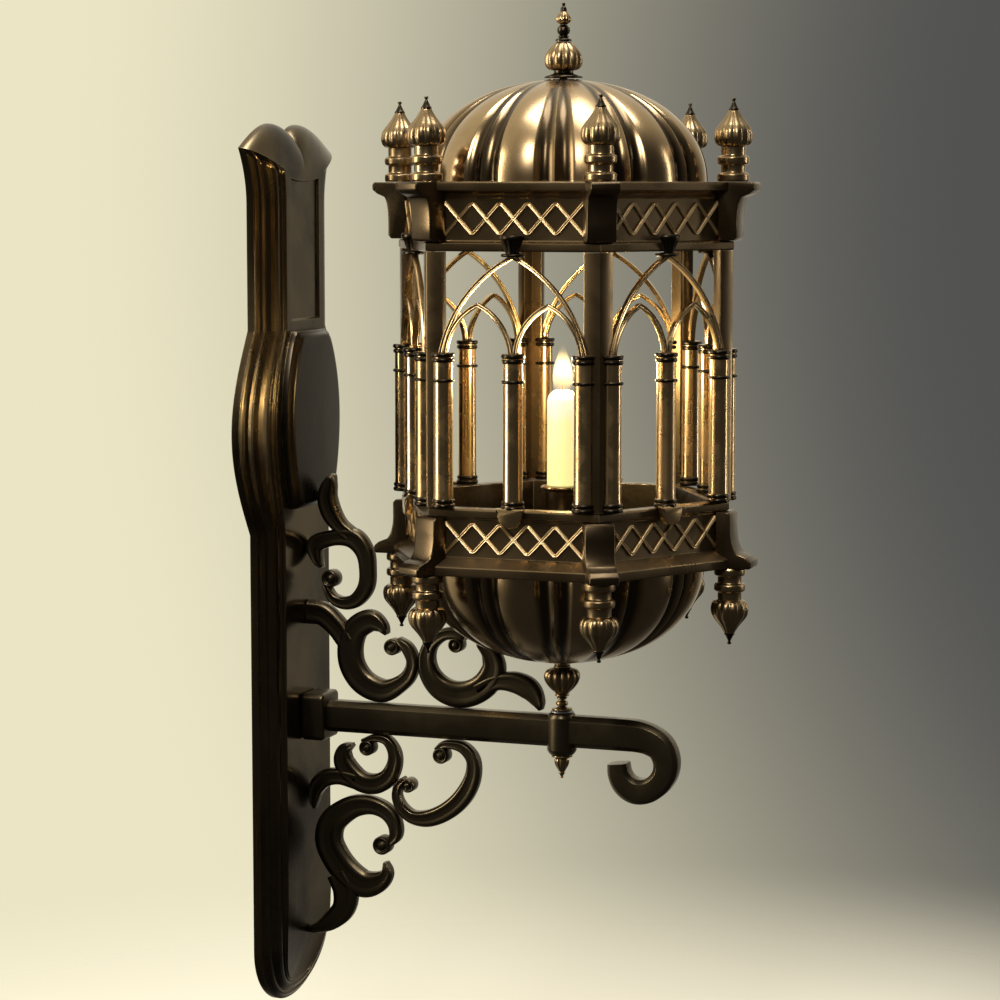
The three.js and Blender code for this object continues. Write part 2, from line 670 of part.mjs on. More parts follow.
function scroll({ above, run, strokes, rolls }) {
  const side = above ? 1 : -1;
  const front = PLATE_DEPTH + SEAT_GAP;
  const level = side * (ARM_HALF_HEIGHT + SEAT_GAP);
  const place = ([out, up, size]) => [front + out, level + up, size];
  const bars = strokes.map((line) => {
    const outline = strokeOutline(drawn(line, run, scrollRise).map(place));
    return armPlate(outline, SCROLL_THICKNESS);
  });
  const ends = drawn(rolls, run, scrollRise).map((roll) => {
    const [out, up, radius] = place(roll);
    const eye = new THREE.CylinderGeometry(radius, radius, SCROLL_THICKNESS + 2 * EYE_RELIEF, 18);
    return solid(eye.rotateZ(Math.PI / 2).translate(0, -out, up));
  });
  return join(...bars, ...ends).subtract(scrollLimits());
}

// What the scrolls stop short of: the plate, its shield and the bar of the arm
function scrollLimits() {
  const length = 2 * PLATE_TOP;
  const plate = wallPlate().translate(0, -SEAT_GAP, 0);
  const shieldDepth = PLATE_DEPTH + SHIELD_DEPTH + 2 * SEAT_GAP;
  const shieldHeight = SHIELD_HEAD - SHIELD_FOOT + 2 * SEAT_GAP;
  const shield = new THREE.BoxGeometry(length, 2 * shieldDepth, shieldHeight);
  shield.translate(0, 0, (SHIELD_HEAD + SHIELD_FOOT) / 2);
  const bar = new THREE.BoxGeometry(length, length, 2 * (ARM_HALF_HEIGHT + SEAT_GAP));
  return join(plate, solid(shield), solid(bar));
}

// The swivel: a flanged bush in the barrel, the stem that turns in it, a washer and the end nut
function stemBush() {
  const bore = SPIGOT_RADIUS + SEAT_GAP;
  const flangeFoot = BARREL_TOP + SEAT_GAP;
  return turnedRing([
    [bore, -BARREL_DROP], [BUSH_RADIUS, -BARREL_DROP], [BUSH_RADIUS, flangeFoot],
    [BUSH_FLANGE_RADIUS, flangeFoot], [BUSH_FLANGE_RADIUS, flangeFoot + BUSH_FLANGE_HEIGHT],
    [bore, flangeFoot + BUSH_FLANGE_HEIGHT],
  ], 16);
}

const shoulder = BARREL_TOP + SEAT_GAP + BUSH_FLANGE_HEIGHT + RUN_GAP;
const washerTop = -BARREL_DROP - SEAT_GAP;
const nutTop = washerTop - WASHER_HEIGHT - SEAT_GAP;
const trayTop = TRAY_FLOOR + TRAY_THICKNESS;
const rodNutTop = trayTop + SEAT_GAP + ROD_NUT_HEIGHT;
const knopSeat = KNOP_FOOT - SEAT_GAP;

function stem() {
  const beads = [
    [STEM_FOOT_RADIUS, 0], [STEM_FOOT_RADIUS, 0.08], [STEM_WAIST, 0.13], [STEM_BEAD, 0.32],
    [STEM_BEAD, 0.43], [STEM_WAIST, 0.63], [STEM_WAIST, 0.66], [STEM_RING, 0.71], [STEM_WAIST, 0.77],
    [STEM_COLLAR, 0.86], [STEM_COLLAR, 0.92], [STEM_BEAD, 1],
  ].map(([r, share]) => [r, THREE.MathUtils.lerp(shoulder, knopSeat, share)]);
  return turnedSolid([
    [THREAD_RADIUS, nutTop - THREAD_LENGTH], [THREAD_RADIUS, nutTop + SEAT_GAP],
    [SPIGOT_RADIUS, nutTop + SEAT_GAP], [SPIGOT_RADIUS, shoulder], ...beads,
    [ROD_RADIUS, knopSeat], [ROD_RADIUS, rodNutTop + ROD_STUB],
  ], 14);
}

function washer() {
  const bore = SPIGOT_RADIUS + RUN_GAP;
  return turnedRing([
    [bore, washerTop - WASHER_HEIGHT], [WASHER_RADIUS, washerTop - WASHER_HEIGHT],
    [WASHER_RADIUS, washerTop], [bore, washerTop],
  ], 16);
}

function endNut() {
  const bore = THREAD_RADIUS + SEAT_GAP;
  const depth = THREAD_LENGTH + 1;
  const onion = [
    [0.14, 1], [0.24, 0.96], [0.17, 0.9], [0.37, 0.87], [0.41, 0.72], [0.54, 0.66], [0.83, 0.5],
    [1, 0.26], [1, 0.14], [0.8, 0],
  ].map(([r, drop]) => [r * NUT_RADIUS, nutTop - drop * NUT_HEIGHT]);
  return turnedSolid(onion, 12).subtract(cylinder(bore, nutTop - depth, nutTop + 1, 8));
}

function knop() {
  const top = KNOP_FOOT + KNOP_HEIGHT;
  const onion = [
    [0.46, 0.08], [0.71, 0.28], [0.94, 0.5], [1, 0.66], [0.93, 0.84], [0.71, 0.96],
  ].map(([r, share]) => [r * KNOP_RADIUS, KNOP_FOOT + share * KNOP_HEIGHT]);
  const body = turned([
    [0, KNOP_FOOT], [KNOP_SEAT_RADIUS, KNOP_FOOT], ...onion,
    [COLLAR_RADIUS, top], [COLLAR_RADIUS, top + COLLAR_HEIGHT], [0, top + COLLAR_HEIGHT],
  ], 2 * KNOP_FLUTES);
  const onOnion = (z) => (z > onion[0][1] && z < top ? KNOP_FLUTE_DEPTH : 0);
  flute(body, (turn) => 0.5 - 0.5 * Math.cos(turn * KNOP_FLUTES), onOnion);
  return solid(body).subtract(cylinder(ROD_RADIUS + SEAT_GAP, 0, top + 2 * COLLAR_HEIGHT, 16));
}

// Draws the surface of a turned geometry inwards by a share that depends on angle and height.
function flute(geometry, shape, depthAt) {
  const points = geometry.attributes.position;
  for (let i = 0; i < points.count; i += 1) {
    const x = points.getX(i);
    const y = points.getY(i);
    const draw = 1 - shape(Math.atan2(x, -y)) * depthAt(points.getZ(i));
    points.setXY(i, x * draw, y * draw);
  }
  return geometry;
}

// Wide lobes with narrow ribs between them: 0 over a lobe, 1 in the groove, part way on a rib
function lobeShape(turn) {
  const period = 2 * Math.PI / LOBES;
  const place = ((turn % period) + period) % period;
  const fromRib = Math.abs(place / period - 0.5);
  const groove = 1 / 6;
  const rib = 0.25;
  if (fromRib < groove) return THREE.MathUtils.lerp(rib, 1, fromRib / groove);
  return Math.max(0, 1 - (fromRib - groove) / groove) ** 2;
}

// A quarter of a full oval from above the rim [radius, 0] to the crown [0, height]
function ovalProfile(radius, height, steps, crown) {
  const profile = [];
  for (let i = 1; i < steps; i += 1) {
    const turn = (i / steps) * Math.PI / 2;
    const across = Math.cos(turn) ** (2 / OVAL_FULLNESS);
    profile.push([Math.max(radius * across, crown), height * Math.sin(turn) ** (2 / OVAL_FULLNESS)]);
  }
  return [...profile, [crown, height]];
}

// A lobed shell over its rim, which runs outwards, and over the throat that opens its hollow
function lobedShell(radius, height, rim, throat) {
  const oval = ovalProfile(radius, height, 6, SADDLE_RADIUS);
  const outer = turned([...rim, ...oval, [0, height]], 6 * LOBES);
  const fade = height * 0.08;
  flute(outer, lobeShape, (z) => GROOVE_DEPTH * THREE.MathUtils.clamp(z / fade, 0, 1));
  const inner = ovalProfile(shellHollow(radius), height - SHELL_WALL, 4, SADDLE_RADIUS - SHELL_WALL);
  return solid(outer).subtract(turnedSolid([...throat, ...inner], 18));
}

function shellHollow(radius) {
  return radius * (1 - GROOVE_DEPTH) - SHELL_WALL;
}

// The bowl's lobes spread under the sill from a neck that stands inside it.
function bowl() {
  const rim = [
    [0, -BOWL_RIM], [BOWL_NECK_RADIUS, -BOWL_RIM], [BOWL_NECK_RADIUS, SEAT_GAP], [BOWL_RADIUS, SEAT_GAP],
  ];
  const neckHollow = BOWL_NECK_RADIUS - SHELL_WALL;
  const throat = [[neckHollow, -BOWL_RIM - 1], [neckHollow, SHELL_WALL], [shellHollow(BOWL_RADIUS), SHELL_WALL]];
  const shell = lobedShell(BOWL_RADIUS, BOWL_DEPTH, rim, throat).rotate([180, 0, 0]);
  return shell.translate(0, 0, SILL_BOTTOM).subtract(cylinder(ROD_RADIUS + SEAT_GAP, 0, SILL_BOTTOM, 16));
}

const deckTop = CORNICE_TOP + SEAT_GAP;
const rebateRadius = DOME_RADIUS * (1 - GROOVE_DEPTH) - 0.5;

function dome() {
  const hollow = shellHollow(DOME_RADIUS);
  const shell = lobedShell(DOME_RADIUS, DOME_HEIGHT, [[0, 0], [DOME_RADIUS, 0]], [[hollow, -1], [hollow, 0]]);
  const rebate = turnedRing([
    [rebateRadius - SHELL_WALL, -REBATE_DEPTH], [rebateRadius, -REBATE_DEPTH],
    [rebateRadius, 1], [rebateRadius - SHELL_WALL, 1],
  ], 36);
  const hole = cylinder(THREAD_RADIUS + SEAT_GAP, 0, 2 * DOME_HEIGHT, 12);
  return join(shell, rebate).subtract(hole).translate(0, 0, deckTop);
}

// The dome's finial as shares of its radius and height: a saucer, an onion, rings, beads and a point
const domeFinialShape = [
  [1, 0], [1, 0.03], [0.86, 0.06], [0.51, 0.075], [0.51, 0.1], [0.75, 0.16], [0.97, 0.22], [0.99, 0.27],
  [0.86, 0.35], [0.55, 0.43], [0.34, 0.47], [0.42, 0.49], [0.42, 0.515], [0.22, 0.535], [0.29, 0.55],
  [0.21, 0.575], [0.33, 0.61], [0.33, 0.67], [0.18, 0.7], [0.4, 0.76], [0.41, 0.79], [0.23, 0.855],
  [0.15, 0.885], [0.14, 0.94], [0.06, 0.96], [0.09, 0.98], [0.055, 1],
];

function domeFinial() {
  const body = domeFinialShape.map(([r, share]) => [r * DOME_FINIAL_RADIUS, share * DOME_FINIAL_HEIGHT]);
  const stud = [[THREAD_RADIUS, -2 * SHELL_WALL], [THREAD_RADIUS, 0]];
  return turnedSolid([...stud, ...body], 12).translate(0, 0, deckTop + DOME_HEIGHT + SEAT_GAP);
}

// The two rails. Each outline runs up the outside, [radius to a corner, height].
const sillOutline = [
  [SILL_FOOT_R, SILL_BOTTOM],
  [SILL_FOOT_R, SILL_BOTTOM + SILL_FOOT_FASCIA],
  [PANEL_R, SILL_BOTTOM + SILL_FOOT_FASCIA + SILL_FLARE],
  [PANEL_R, SILL_TOP - SILL_FASCIA - SILL_CHAMFER],
  [SILL_FASCIA_R, SILL_TOP - SILL_FASCIA],
  [SILL_FASCIA_R, SILL_TOP],
];
const corniceOutline = [
  [CORNICE_FOOT_R, CORNICE_BOTTOM],
  [CORNICE_FOOT_R, CORNICE_BOTTOM + CORNICE_FOOT_BAND - CORNICE_CHAMFER],
  [PANEL_R, CORNICE_BOTTOM + CORNICE_FOOT_BAND],
  [PANEL_R, CORNICE_TOP - CORNICE_FASCIA - CORNICE_COVE],
  [CORNICE_FASCIA_R, CORNICE_TOP - CORNICE_FASCIA],
  [CORNICE_FASCIA_R, CORNICE_TOP],
];

// The space that a rail takes from its neighbours, clearance included
function railSpace(outline) {
  const wider = outline.map(([r, z]) => [r + SEAT_GAP / COS30, z]);
  const full = turnedSolid(wider, 6);
  return join(full, full.translate(0, 0, SEAT_GAP), full.translate(0, 0, -SEAT_GAP));
}

// Two opposite zigzag wires that cross, raised on the panel of every side
function lattice(foot, head, grow = 0) {
  const half = PANEL_R / 2 - LATTICE_END;
  const step = 2 * half / LATTICE_CROSSINGS;
  const slant = Math.hypot(step, head - foot) / step;
  const panelFace = PANEL_R * COS30;
  const wires = [0, 1].map((phase) => {
    const line = [];
    for (let i = 0; i <= LATTICE_CROSSINGS; i += 1) {
      line.push([-half + i * step, (i + phase) % 2 ? head : foot]);
    }
    const upper = line.map(([x, z]) => [x, z + (WIRE_HALF + grow) * slant]);
    const lower = line.map(([x, z]) => [x, z - (WIRE_HALF + grow) * slant]).reverse();
    return sidePlate([...upper, ...lower], panelFace - WIRE_RELIEF, panelFace + WIRE_RELIEF + grow);
  });
  return join(...wires);
}

function withLattice(rail, foot, head) {
  const relief = lattice(foot, head);
  const turns = [0, 1, 2, 3, 4, 5].map((side) => relief.rotate([0, 0, 30 + 60 * side]));
  return join(rail, ...turns);
}

function sillRail() {
  const inside = [[SILL_INNER_R, SILL_TOP], [SILL_INNER_R, SILL_BOTTOM]];
  const foot = SILL_BOTTOM + SILL_FOOT_FASCIA + SILL_FLARE + LATTICE_MARGIN;
  const head = SILL_TOP - SILL_FASCIA - SILL_CHAMFER - LATTICE_MARGIN;
  return withLattice(turnedRing([...sillOutline, ...inside], 6), foot, head);
}

const corniceLatticeFoot = CORNICE_BOTTOM + CORNICE_FOOT_BAND + LATTICE_MARGIN;
const corniceLatticeHead = CORNICE_TOP - CORNICE_FASCIA - CORNICE_COVE - LATTICE_MARGIN;

function cornice() {
  const body = turnedSolid(corniceOutline, 6);
  const hollow = turnedSolid([[CORNICE_INNER_R, 0], [CORNICE_INNER_R, CORNICE_TOP - DECK_THICKNESS]], 6);
  const mouth = cylinder(rebateRadius + SEAT_GAP, 0, 2 * CORNICE_TOP, 36);
  return withLattice(body.subtract(hollow).subtract(mouth), corniceLatticeFoot, corniceLatticeHead);
}

// A bracket's side view runs from the rail out to the rolled nose, [radius, height from its flat end].
function bracketSide(faceRadius, height) {
  const line = [[BRACKET_ROOT_R, 0]];
  const bends = 3;
  for (let i = 0; i <= bends; i += 1) {
    const turn = Math.PI * (i / bends - 0.5);
    const out = BRACKET_NOSE_R - BRACKET_NOSE_ROUND * (1 - Math.cos(turn));
    line.push([out, BRACKET_NOSE_ROUND * (1 + Math.sin(turn))]);
  }
  const cove = BRACKET_NOSE_R - BRACKET_NOSE_ROUND - BRACKET_LIP - faceRadius;
  for (let i = 1; i <= bends; i += 1) {
    const turn = (Math.PI / 2) * (i / bends);
    line.push([
      faceRadius + cove * (1 - Math.sin(turn)),
      2 * BRACKET_NOSE_ROUND + BRACKET_COVE_HEIGHT * (1 - Math.cos(turn)),
    ]);
  }
  const end = [
    [faceRadius, height - BRACKET_CHAMFER], [faceRadius - 0.7 * BRACKET_CHAMFER, height],
    [BRACKET_ROOT_R, height],
  ];
  return [...line, ...end];
}

function bracket(side, foot, outline) {
  const body = armPlate(side.map(([r, z]) => [r, foot + z]), BRACKET_WIDTH);
  return body.subtract(railSpace(outline));
}

function upperBracket() {
  const side = bracketSide(UPPER_FACE_R, UPPER_BRACKET_HEIGHT);
  const turnedOver = side.map(([r, z]) => [r, UPPER_BRACKET_HEIGHT - z]).reverse();
  return bracket(turnedOver, CORNICE_TOP - UPPER_BRACKET_HEIGHT, corniceOutline);
}

function lowerBracket() {
  return bracket(bracketSide(LOWER_FACE_R, LOWER_BRACKET_HEIGHT), SILL_BOTTOM, sillOutline);
}

// Corner finials as shares of their radius and height, drawn from their seat outwards: rings and
// necks, an onion and a point
const finialShape = [
  [0.81, 0], [0.81, 0.1], [0.64, 0.11], [0.64, 0.19], [0.81, 0.205], [0.81, 0.29], [0.64, 0.31], [0.64, 0.4],
  [0.97, 0.49], [1, 0.58], [0.58, 0.75], [0.3, 0.845], [0.28, 0.9], [0.11, 0.97], [0.11, 1],
];

function finial(height) {
  return turnedSolid(finialShape.map(([r, share]) => [r * FINIAL_RADIUS, share * height]), 8);
}

function topFinial() {
  return finial(TOP_FINIAL_HEIGHT).translate(0, -FINIAL_CIRCLE_R, deckTop);
}

function dropFinial() {
  const hung = finial(DROP_FINIAL_HEIGHT).rotate([180, 0, 0]);
  return hung.translate(0, -FINIAL_CIRCLE_R, SILL_BOTTOM - SEAT_GAP);
}

// A column's turned outline, from its foot: two rings, the shaft, a ring, the neck and two rings
function columnProfile() {
  const ring = RING_RADIUS;
  const shaft = SHAFT_RADIUS;
  const waist = RING_RADIUS - RING_WAIST;
  const neckFoot = COLUMN_HEIGHT - 2 * BASE_RING - CAPITAL_NECK;
  const capital = COLUMN_HEIGHT - 2 * BASE_RING;
  return [
    [waist, 0], [ring, BASE_RING / 2], [waist, BASE_RING], [ring, 1.5 * BASE_RING], [shaft, 2 * BASE_RING],
    [shaft, neckFoot - NECK_RING], [ring, neckFoot - NECK_RING / 2], [shaft, neckFoot], [shaft, capital],
    [ring, capital + BASE_RING / 2], [waist, capital + BASE_RING], [ring, capital + 1.5 * BASE_RING],
    [waist, COLUMN_HEIGHT],
  ];
}

// The room that a post leaves for the column beside it, with one step at each ring
function columnSpace() {
  const ring = RING_RADIUS + SEAT_GAP;
  const shaft = SHAFT_RADIUS + SEAT_GAP;
  const rings = 2 * BASE_RING + SEAT_GAP;
  const neckFoot = COLUMN_HEIGHT - 2 * BASE_RING - CAPITAL_NECK;
  const ringFoot = neckFoot - NECK_RING;
  return [
    [ring, -BASE_RING], [ring, rings], [shaft, rings], [shaft, ringFoot - NOTCH_MARGIN],
    [ring, ringFoot + NOTCH_MARGIN], [ring, neckFoot - NOTCH_MARGIN], [shaft, neckFoot + NOTCH_MARGIN],
    [shaft, COLUMN_HEIGHT - rings],
    [ring, COLUMN_HEIGHT - rings], [ring, COLUMN_HEIGHT + SEAT_GAP],
  ];
}

const columnFoot = SILL_TOP + SEAT_GAP;
const springLevel = columnFoot + COLUMN_HEIGHT;

function column(profile, offset) {
  return turnedSolid(profile, 8).translate(offset, -COLUMN_PLANE, columnFoot);
}

// One leg of a pointed arch: an arc from its springing to its apex that bows away from the opening
function archLeg(spring, apex, radius, grow = 0) {
  const run = apex[0] - spring[0];
  const rise = apex[1] - spring[1];
  const chord = Math.hypot(run, rise);
  const lean = Math.sign(-run);
  const reach = Math.sqrt(radius ** 2 - (chord / 2) ** 2);
  const centre = [
    (spring[0] + apex[0]) / 2 - lean * reach * rise / chord,
    (spring[1] + apex[1]) / 2 + lean * reach * run / chord,
  ];
  const from = Math.atan2(spring[1] - centre[1], spring[0] - centre[0]);
  const to = Math.atan2(apex[1] - centre[1], apex[0] - centre[0]);
  const sweep = Math.atan2(Math.sin(to - from), Math.cos(to - from));
  const steps = 4;
  const line = [];
  for (let i = 0; i <= steps; i += 1) {
    const turn = from + sweep * i / steps;
    line.push([centre[0] + radius * Math.cos(turn), centre[1] + radius * Math.sin(turn), ARCH_HALF + grow]);
  }
  const halfDepth = ARCH_DEPTH / 2 + grow;
  return sidePlate(strokeOutline(line, 1), COLUMN_PLANE - halfDepth, COLUMN_PLANE + halfDepth);
}

function pointedArch(left, right, rise, radius) {
  const base = springLevel - SPRING_BITE;
  const apex = [(left + right) / 2, springLevel + rise];
  return join(archLeg([left, base], apex, radius), archLeg([right, base], apex, radius));
}

function arcade() {
  const outer = COLUMN_OFFSET + SPRING_OFFSET;
  const inner = COLUMN_OFFSET - SPRING_OFFSET;
  const columns = [-COLUMN_OFFSET, 0, COLUMN_OFFSET].map((offset) => column(columnProfile(), offset));
  const arches = [
    pointedArch(-outer, outer, BIG_ARCH_RISE, BIG_ARCH_RADIUS),
    pointedArch(-inner, -SPRING_OFFSET, SMALL_ARCH_RISE, SMALL_ARCH_RADIUS),
    pointedArch(SPRING_OFFSET, inner, SMALL_ARCH_RISE, SMALL_ARCH_RADIUS),
  ];
  const cupFoot = springLevel + BIG_ARCH_RISE;
  const cup = turnedSolid([
    [CUP_DISC_RADIUS, cupFoot], [CUP_DISC_RADIUS, cupFoot + CUP_DISC],
    [CUP_FOOT_RADIUS, cupFoot + CUP_DISC + CUP_STEP], [CUP_TOP_RADIUS, cupFoot + CUP_HEIGHT - CUP_LIP],
    [CUP_TOP_RADIUS - CUP_LIP / 3, cupFoot + CUP_HEIGHT],
  ], 8).translate(0, -COLUMN_PLANE, 0);
  const corbelTop = columnFoot + BASE_RING / 2;
  const corbelSide = [
    [CORBEL_TOP_HALF, corbelTop], [CORBEL_WAIST_HALF, corbelTop - CORBEL_LIP],
    [CORBEL_FOOT_HALF, corbelTop - CORBEL_HEIGHT],
  ];
  const mirrored = corbelSide.map(([x, z]) => [-x, z]).reverse();
  const corbel = sidePlate([...corbelSide, ...mirrored], COLUMN_PLANE, COLUMN_PLANE + CORBEL_REACH);
  const rails = join(railSpace(sillOutline), railSpace(corniceOutline)).rotate([0, 0, 30]);
  const wires = lattice(corniceLatticeFoot, corniceLatticeHead, SEAT_GAP);
  return join(...columns, ...arches, cup, corbel).subtract(rails).subtract(wires);
}

// A corner post with two legs, notched where the columns stand against it
function post() {
  const along = [COS30 * POST_LEG, POST_LEG / 2];
  const inward = [-POST_THICKNESS / 2, COS30 * POST_THICKNESS];
  const heel = [0, -POST_R + POST_THICKNESS / COS30];
  const half = [[along[0], -POST_R + along[1]], [along[0] + inward[0], -POST_R + along[1] + inward[1]]];
  const section = [[0, -POST_R], ...half, heel, ...half.map(([x, y]) => [-x, y]).reverse()];
  const shape = new THREE.Shape(section.map(([x, y]) => new THREE.Vector2(x, y)));
  const foot = SILL_TOP + SEAT_GAP;
  const height = CORNICE_BOTTOM - SEAT_GAP - foot;
  const geometry = new THREE.ExtrudeGeometry(shape, { depth: height, bevelEnabled: false });
  const body = solid(geometry.translate(0, 0, foot));
  return [1, -1].reduce((rest, side) => {
    const spring = [-side * (COLUMN_OFFSET + SPRING_OFFSET), springLevel - SPRING_BITE];
    const arch = archLeg(spring, [0, springLevel + BIG_ARCH_RISE], BIG_ARCH_RADIUS, SEAT_GAP);
    const notch = join(column(columnSpace(), -side * COLUMN_OFFSET), arch);
    return rest.subtract(notch.rotate([0, 0, 30 * side]));
  }, body);
}

function tray() {
  const outer = SILL_INNER_R - SEAT_GAP / COS30;
  const inner = outer - TRAY_WALL / COS30;
  const pan = turnedSolid([
    [outer, TRAY_FLOOR], [outer, SILL_TOP], [inner, SILL_TOP], [inner, trayTop],
  ], 6);
  return pan.subtract(cylinder(ROD_RADIUS + SEAT_GAP, 0, SILL_TOP, 16));
}

function rodNut() {
  const hexagon = turnedSolid([[ROD_NUT_RADIUS, trayTop + SEAT_GAP], [ROD_NUT_RADIUS, rodNutTop]], 6);
  return hexagon.subtract(cylinder(ROD_RADIUS + SEAT_GAP, 0, SILL_TOP, 16));
}

const panFoot = trayTop + SEAT_GAP;
const discTop = panFoot + DRUM_HEIGHT + DISC_HEIGHT;

function candlePan() {
  const disc = panFoot + DRUM_HEIGHT;
  const hollow = DRUM_RADIUS - DRUM_WALL;
  return turnedSolid([
    [hollow, disc - DRUM_WALL], [hollow, panFoot], [DRUM_RADIUS, panFoot], [DRUM_RADIUS, disc],
    [DISC_RADIUS - 1, disc], [DISC_RADIUS, disc + DISC_HEIGHT - 1], [DISC_RADIUS, discTop],
    [SPIKE_RADIUS, discTop], [SPIKE_RADIUS, discTop + SPIKE_HEIGHT - SPIKE_TAPER],
    [SPIKE_RADIUS / 5, discTop + SPIKE_HEIGHT],
  ], 18);
}

function candle() {
  const foot = discTop + SEAT_GAP;
  const top = foot + CANDLE_HEIGHT;
  const round = CANDLE_RADIUS - CANDLE_SHOULDER;
  const half = CANDLE_SHOULDER * Math.SQRT1_2;
  const body = turnedSolid([
    [CANDLE_RADIUS, foot], [CANDLE_RADIUS, top - CANDLE_SHOULDER],
    [round + half, top - CANDLE_SHOULDER + half], [round, top], [WICK_RADIUS, top],
    [WICK_RADIUS, top + WICK_HEIGHT],
  ], 18);
  const bore = cylinder(SPIKE_RADIUS + SEAT_GAP, foot - 1, foot + SPIKE_HEIGHT + SEAT_GAP, 8);
  return body.subtract(bore);
}

const lamp = new THREE.Group();
lamp.add(piece('wall_plate', wallPlate(), 'plate'));
lamp.add(piece('plate_shield', plateShield(), 'plate'));
lamp.add(piece('arm_socket', armSocket(), 'bronze'));
lamp.add(piece('arm', arm(), 'bronze'));
scrolls.forEach((drawing, i) => lamp.add(piece(`scroll_${i + 1}`, scroll(drawing), 'bronze')));

const lantern = new THREE.Group();
lantern.position.y = -LANTERN_REACH;
lantern.add(piece('stem_bush', stemBush(), 'steel'));
lantern.add(piece('stem', stem(), 'brass'));
lantern.add(piece('stem_washer', washer(), 'brass'));
lantern.add(piece('end_nut', endNut(), 'brass'));
lantern.add(piece('knop', knop(), 'brass'));
lantern.add(piece('bowl', bowl(), 'brass'));
lantern.add(piece('gallery_tray', tray(), 'bronze'));
lantern.add(piece('rod_nut', rodNut(), 'steel'));
lantern.add(piece('candle_pan', candlePan(), 'brass'));
lantern.add(piece('candle', candle(), 'wax'));
lantern.add(piece('sill_rail', sillRail(), 'brass'));
lantern.add(piece('cornice', cornice(), 'brass'));
lantern.add(piece('dome', dome(), 'brass'));
lantern.add(piece('dome_finial', domeFinial(), 'brass'));

const cornerPieces = {
  lower_bracket: [lowerBracket(), 'bronze'],
  drop_finial: [dropFinial(), 'brass'],
  post: [post(), 'brass'],
  upper_bracket: [upperBracket(), 'bronze'],
  top_finial: [topFinial(), 'brass'],
};
const sideArcade = arcade();
for (let i = 0; i < 6; i += 1) {
  const corner = new THREE.Group();
  corner.rotation.z = SIXTH * i;
  for (const [name, [body, finishName]] of Object.entries(cornerPieces)) {
    corner.add(piece(`${name}_${i + 1}`, body, finishName));
  }
  const side = new THREE.Group();
  side.rotation.z = SIXTH * (i + 0.5);
  side.add(piece(`arcade_${i + 1}`, sideArcade, 'column'));
  lantern.add(corner, side);
}
lamp.add(lantern);

export default lamp;
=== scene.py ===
import math

import bmesh
import bpy
import numpy as np
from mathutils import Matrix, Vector
from mathutils.geometry import tessellate_polygon


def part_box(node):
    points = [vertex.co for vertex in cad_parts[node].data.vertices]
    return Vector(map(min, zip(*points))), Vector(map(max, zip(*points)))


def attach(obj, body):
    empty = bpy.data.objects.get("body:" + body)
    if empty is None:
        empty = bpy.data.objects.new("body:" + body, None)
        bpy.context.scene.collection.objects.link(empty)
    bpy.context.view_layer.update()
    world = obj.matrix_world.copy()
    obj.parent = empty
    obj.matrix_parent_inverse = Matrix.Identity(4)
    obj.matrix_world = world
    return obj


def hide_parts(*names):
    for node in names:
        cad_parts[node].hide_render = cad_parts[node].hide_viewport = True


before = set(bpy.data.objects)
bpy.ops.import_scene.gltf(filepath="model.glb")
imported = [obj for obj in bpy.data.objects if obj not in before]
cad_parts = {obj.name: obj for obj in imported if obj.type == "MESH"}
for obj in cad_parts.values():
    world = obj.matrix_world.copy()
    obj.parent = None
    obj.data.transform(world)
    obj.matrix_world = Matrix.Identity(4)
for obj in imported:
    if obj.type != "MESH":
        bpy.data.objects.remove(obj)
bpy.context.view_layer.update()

MM = 0.001
SEAT_GAP = 0.3           # between one piece and the piece that it stands on


def span(node):
    low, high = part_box(node)
    return np.array(low) / MM, np.array(high) / MM


# Levels and sizes that the frame gives
REACH = -(span("candle")[0][1] + span("candle")[1][1]) / 2
PLATE_BOTTOM = span("wall_plate")[0][2]
PLATE_DEPTH = -span("wall_plate")[0][1]
SHIELD_FOOT, SHIELD_HEAD = span("plate_shield")[0][2], span("plate_shield")[1][2]
SHIELD_FACE = -span("plate_shield")[0][1]
SILL_BOTTOM, SILL_TOP = span("sill_rail")[0][2], span("sill_rail")[1][2]
CORNICE_BOTTOM, CORNICE_TOP = span("cornice")[0][2], span("cornice")[1][2]
DOME_LOW, DOME_HIGH = span("dome")
BOWL_LOW, BOWL_HIGH = span("bowl")
CANDLE_FOOT, CANDLE_TIP = span("candle")[0][2], span("candle")[1][2]
FINIAL_FOOT, FINIAL_TIP = span("top_finial_1")[0][2], span("top_finial_1")[1][2]
DROP_TIP, DROP_SEAT = span("drop_finial_1")[0][2], span("drop_finial_1")[1][2]
KNOP_FOOT, KNOP_TOP = span("knop")[0][2], span("knop")[1][2]
NUT_TIP, NUT_TOP = span("end_nut")[0][2], span("end_nut")[1][2]
PAN_FOOT = span("candle_pan")[0][2]
COLUMN_FOOT = SILL_TOP + SEAT_GAP
TRAY_FLOOR = span("gallery_tray")[0][2]
DECK = CORNICE_TOP + SEAT_GAP

COS30 = math.cos(math.pi / 6)


# Shapes: a shape is an array of points and a list of faces.

def joined(*shapes):
    points, faces, count = [], [], 0
    for shape_points, shape_faces in shapes:
        points.append(shape_points)
        faces += [[i + count for i in face] for face in shape_faces]
        count += len(shape_points)
    return np.vstack(points), faces


def shifted(shape, x=0.0, y=0.0, z=0.0):
    return shape[0] + np.array([x, y, z]), shape[1]


def spun(shape, degrees):
    turn = math.radians(degrees)
    c, s = math.cos(turn), math.sin(turn)
    return shape[0] @ np.array([[c, s, 0], [-s, c, 0], [0, 0, 1]]), shape[1]


def hung(shape):
    """The shape upside down."""
    return shape[0] * np.array([1, -1, -1]), shape[1]


def around(shape, count, start=0.0):
    return joined(*[spun(shape, start + 360 * i / count) for i in range(count)])


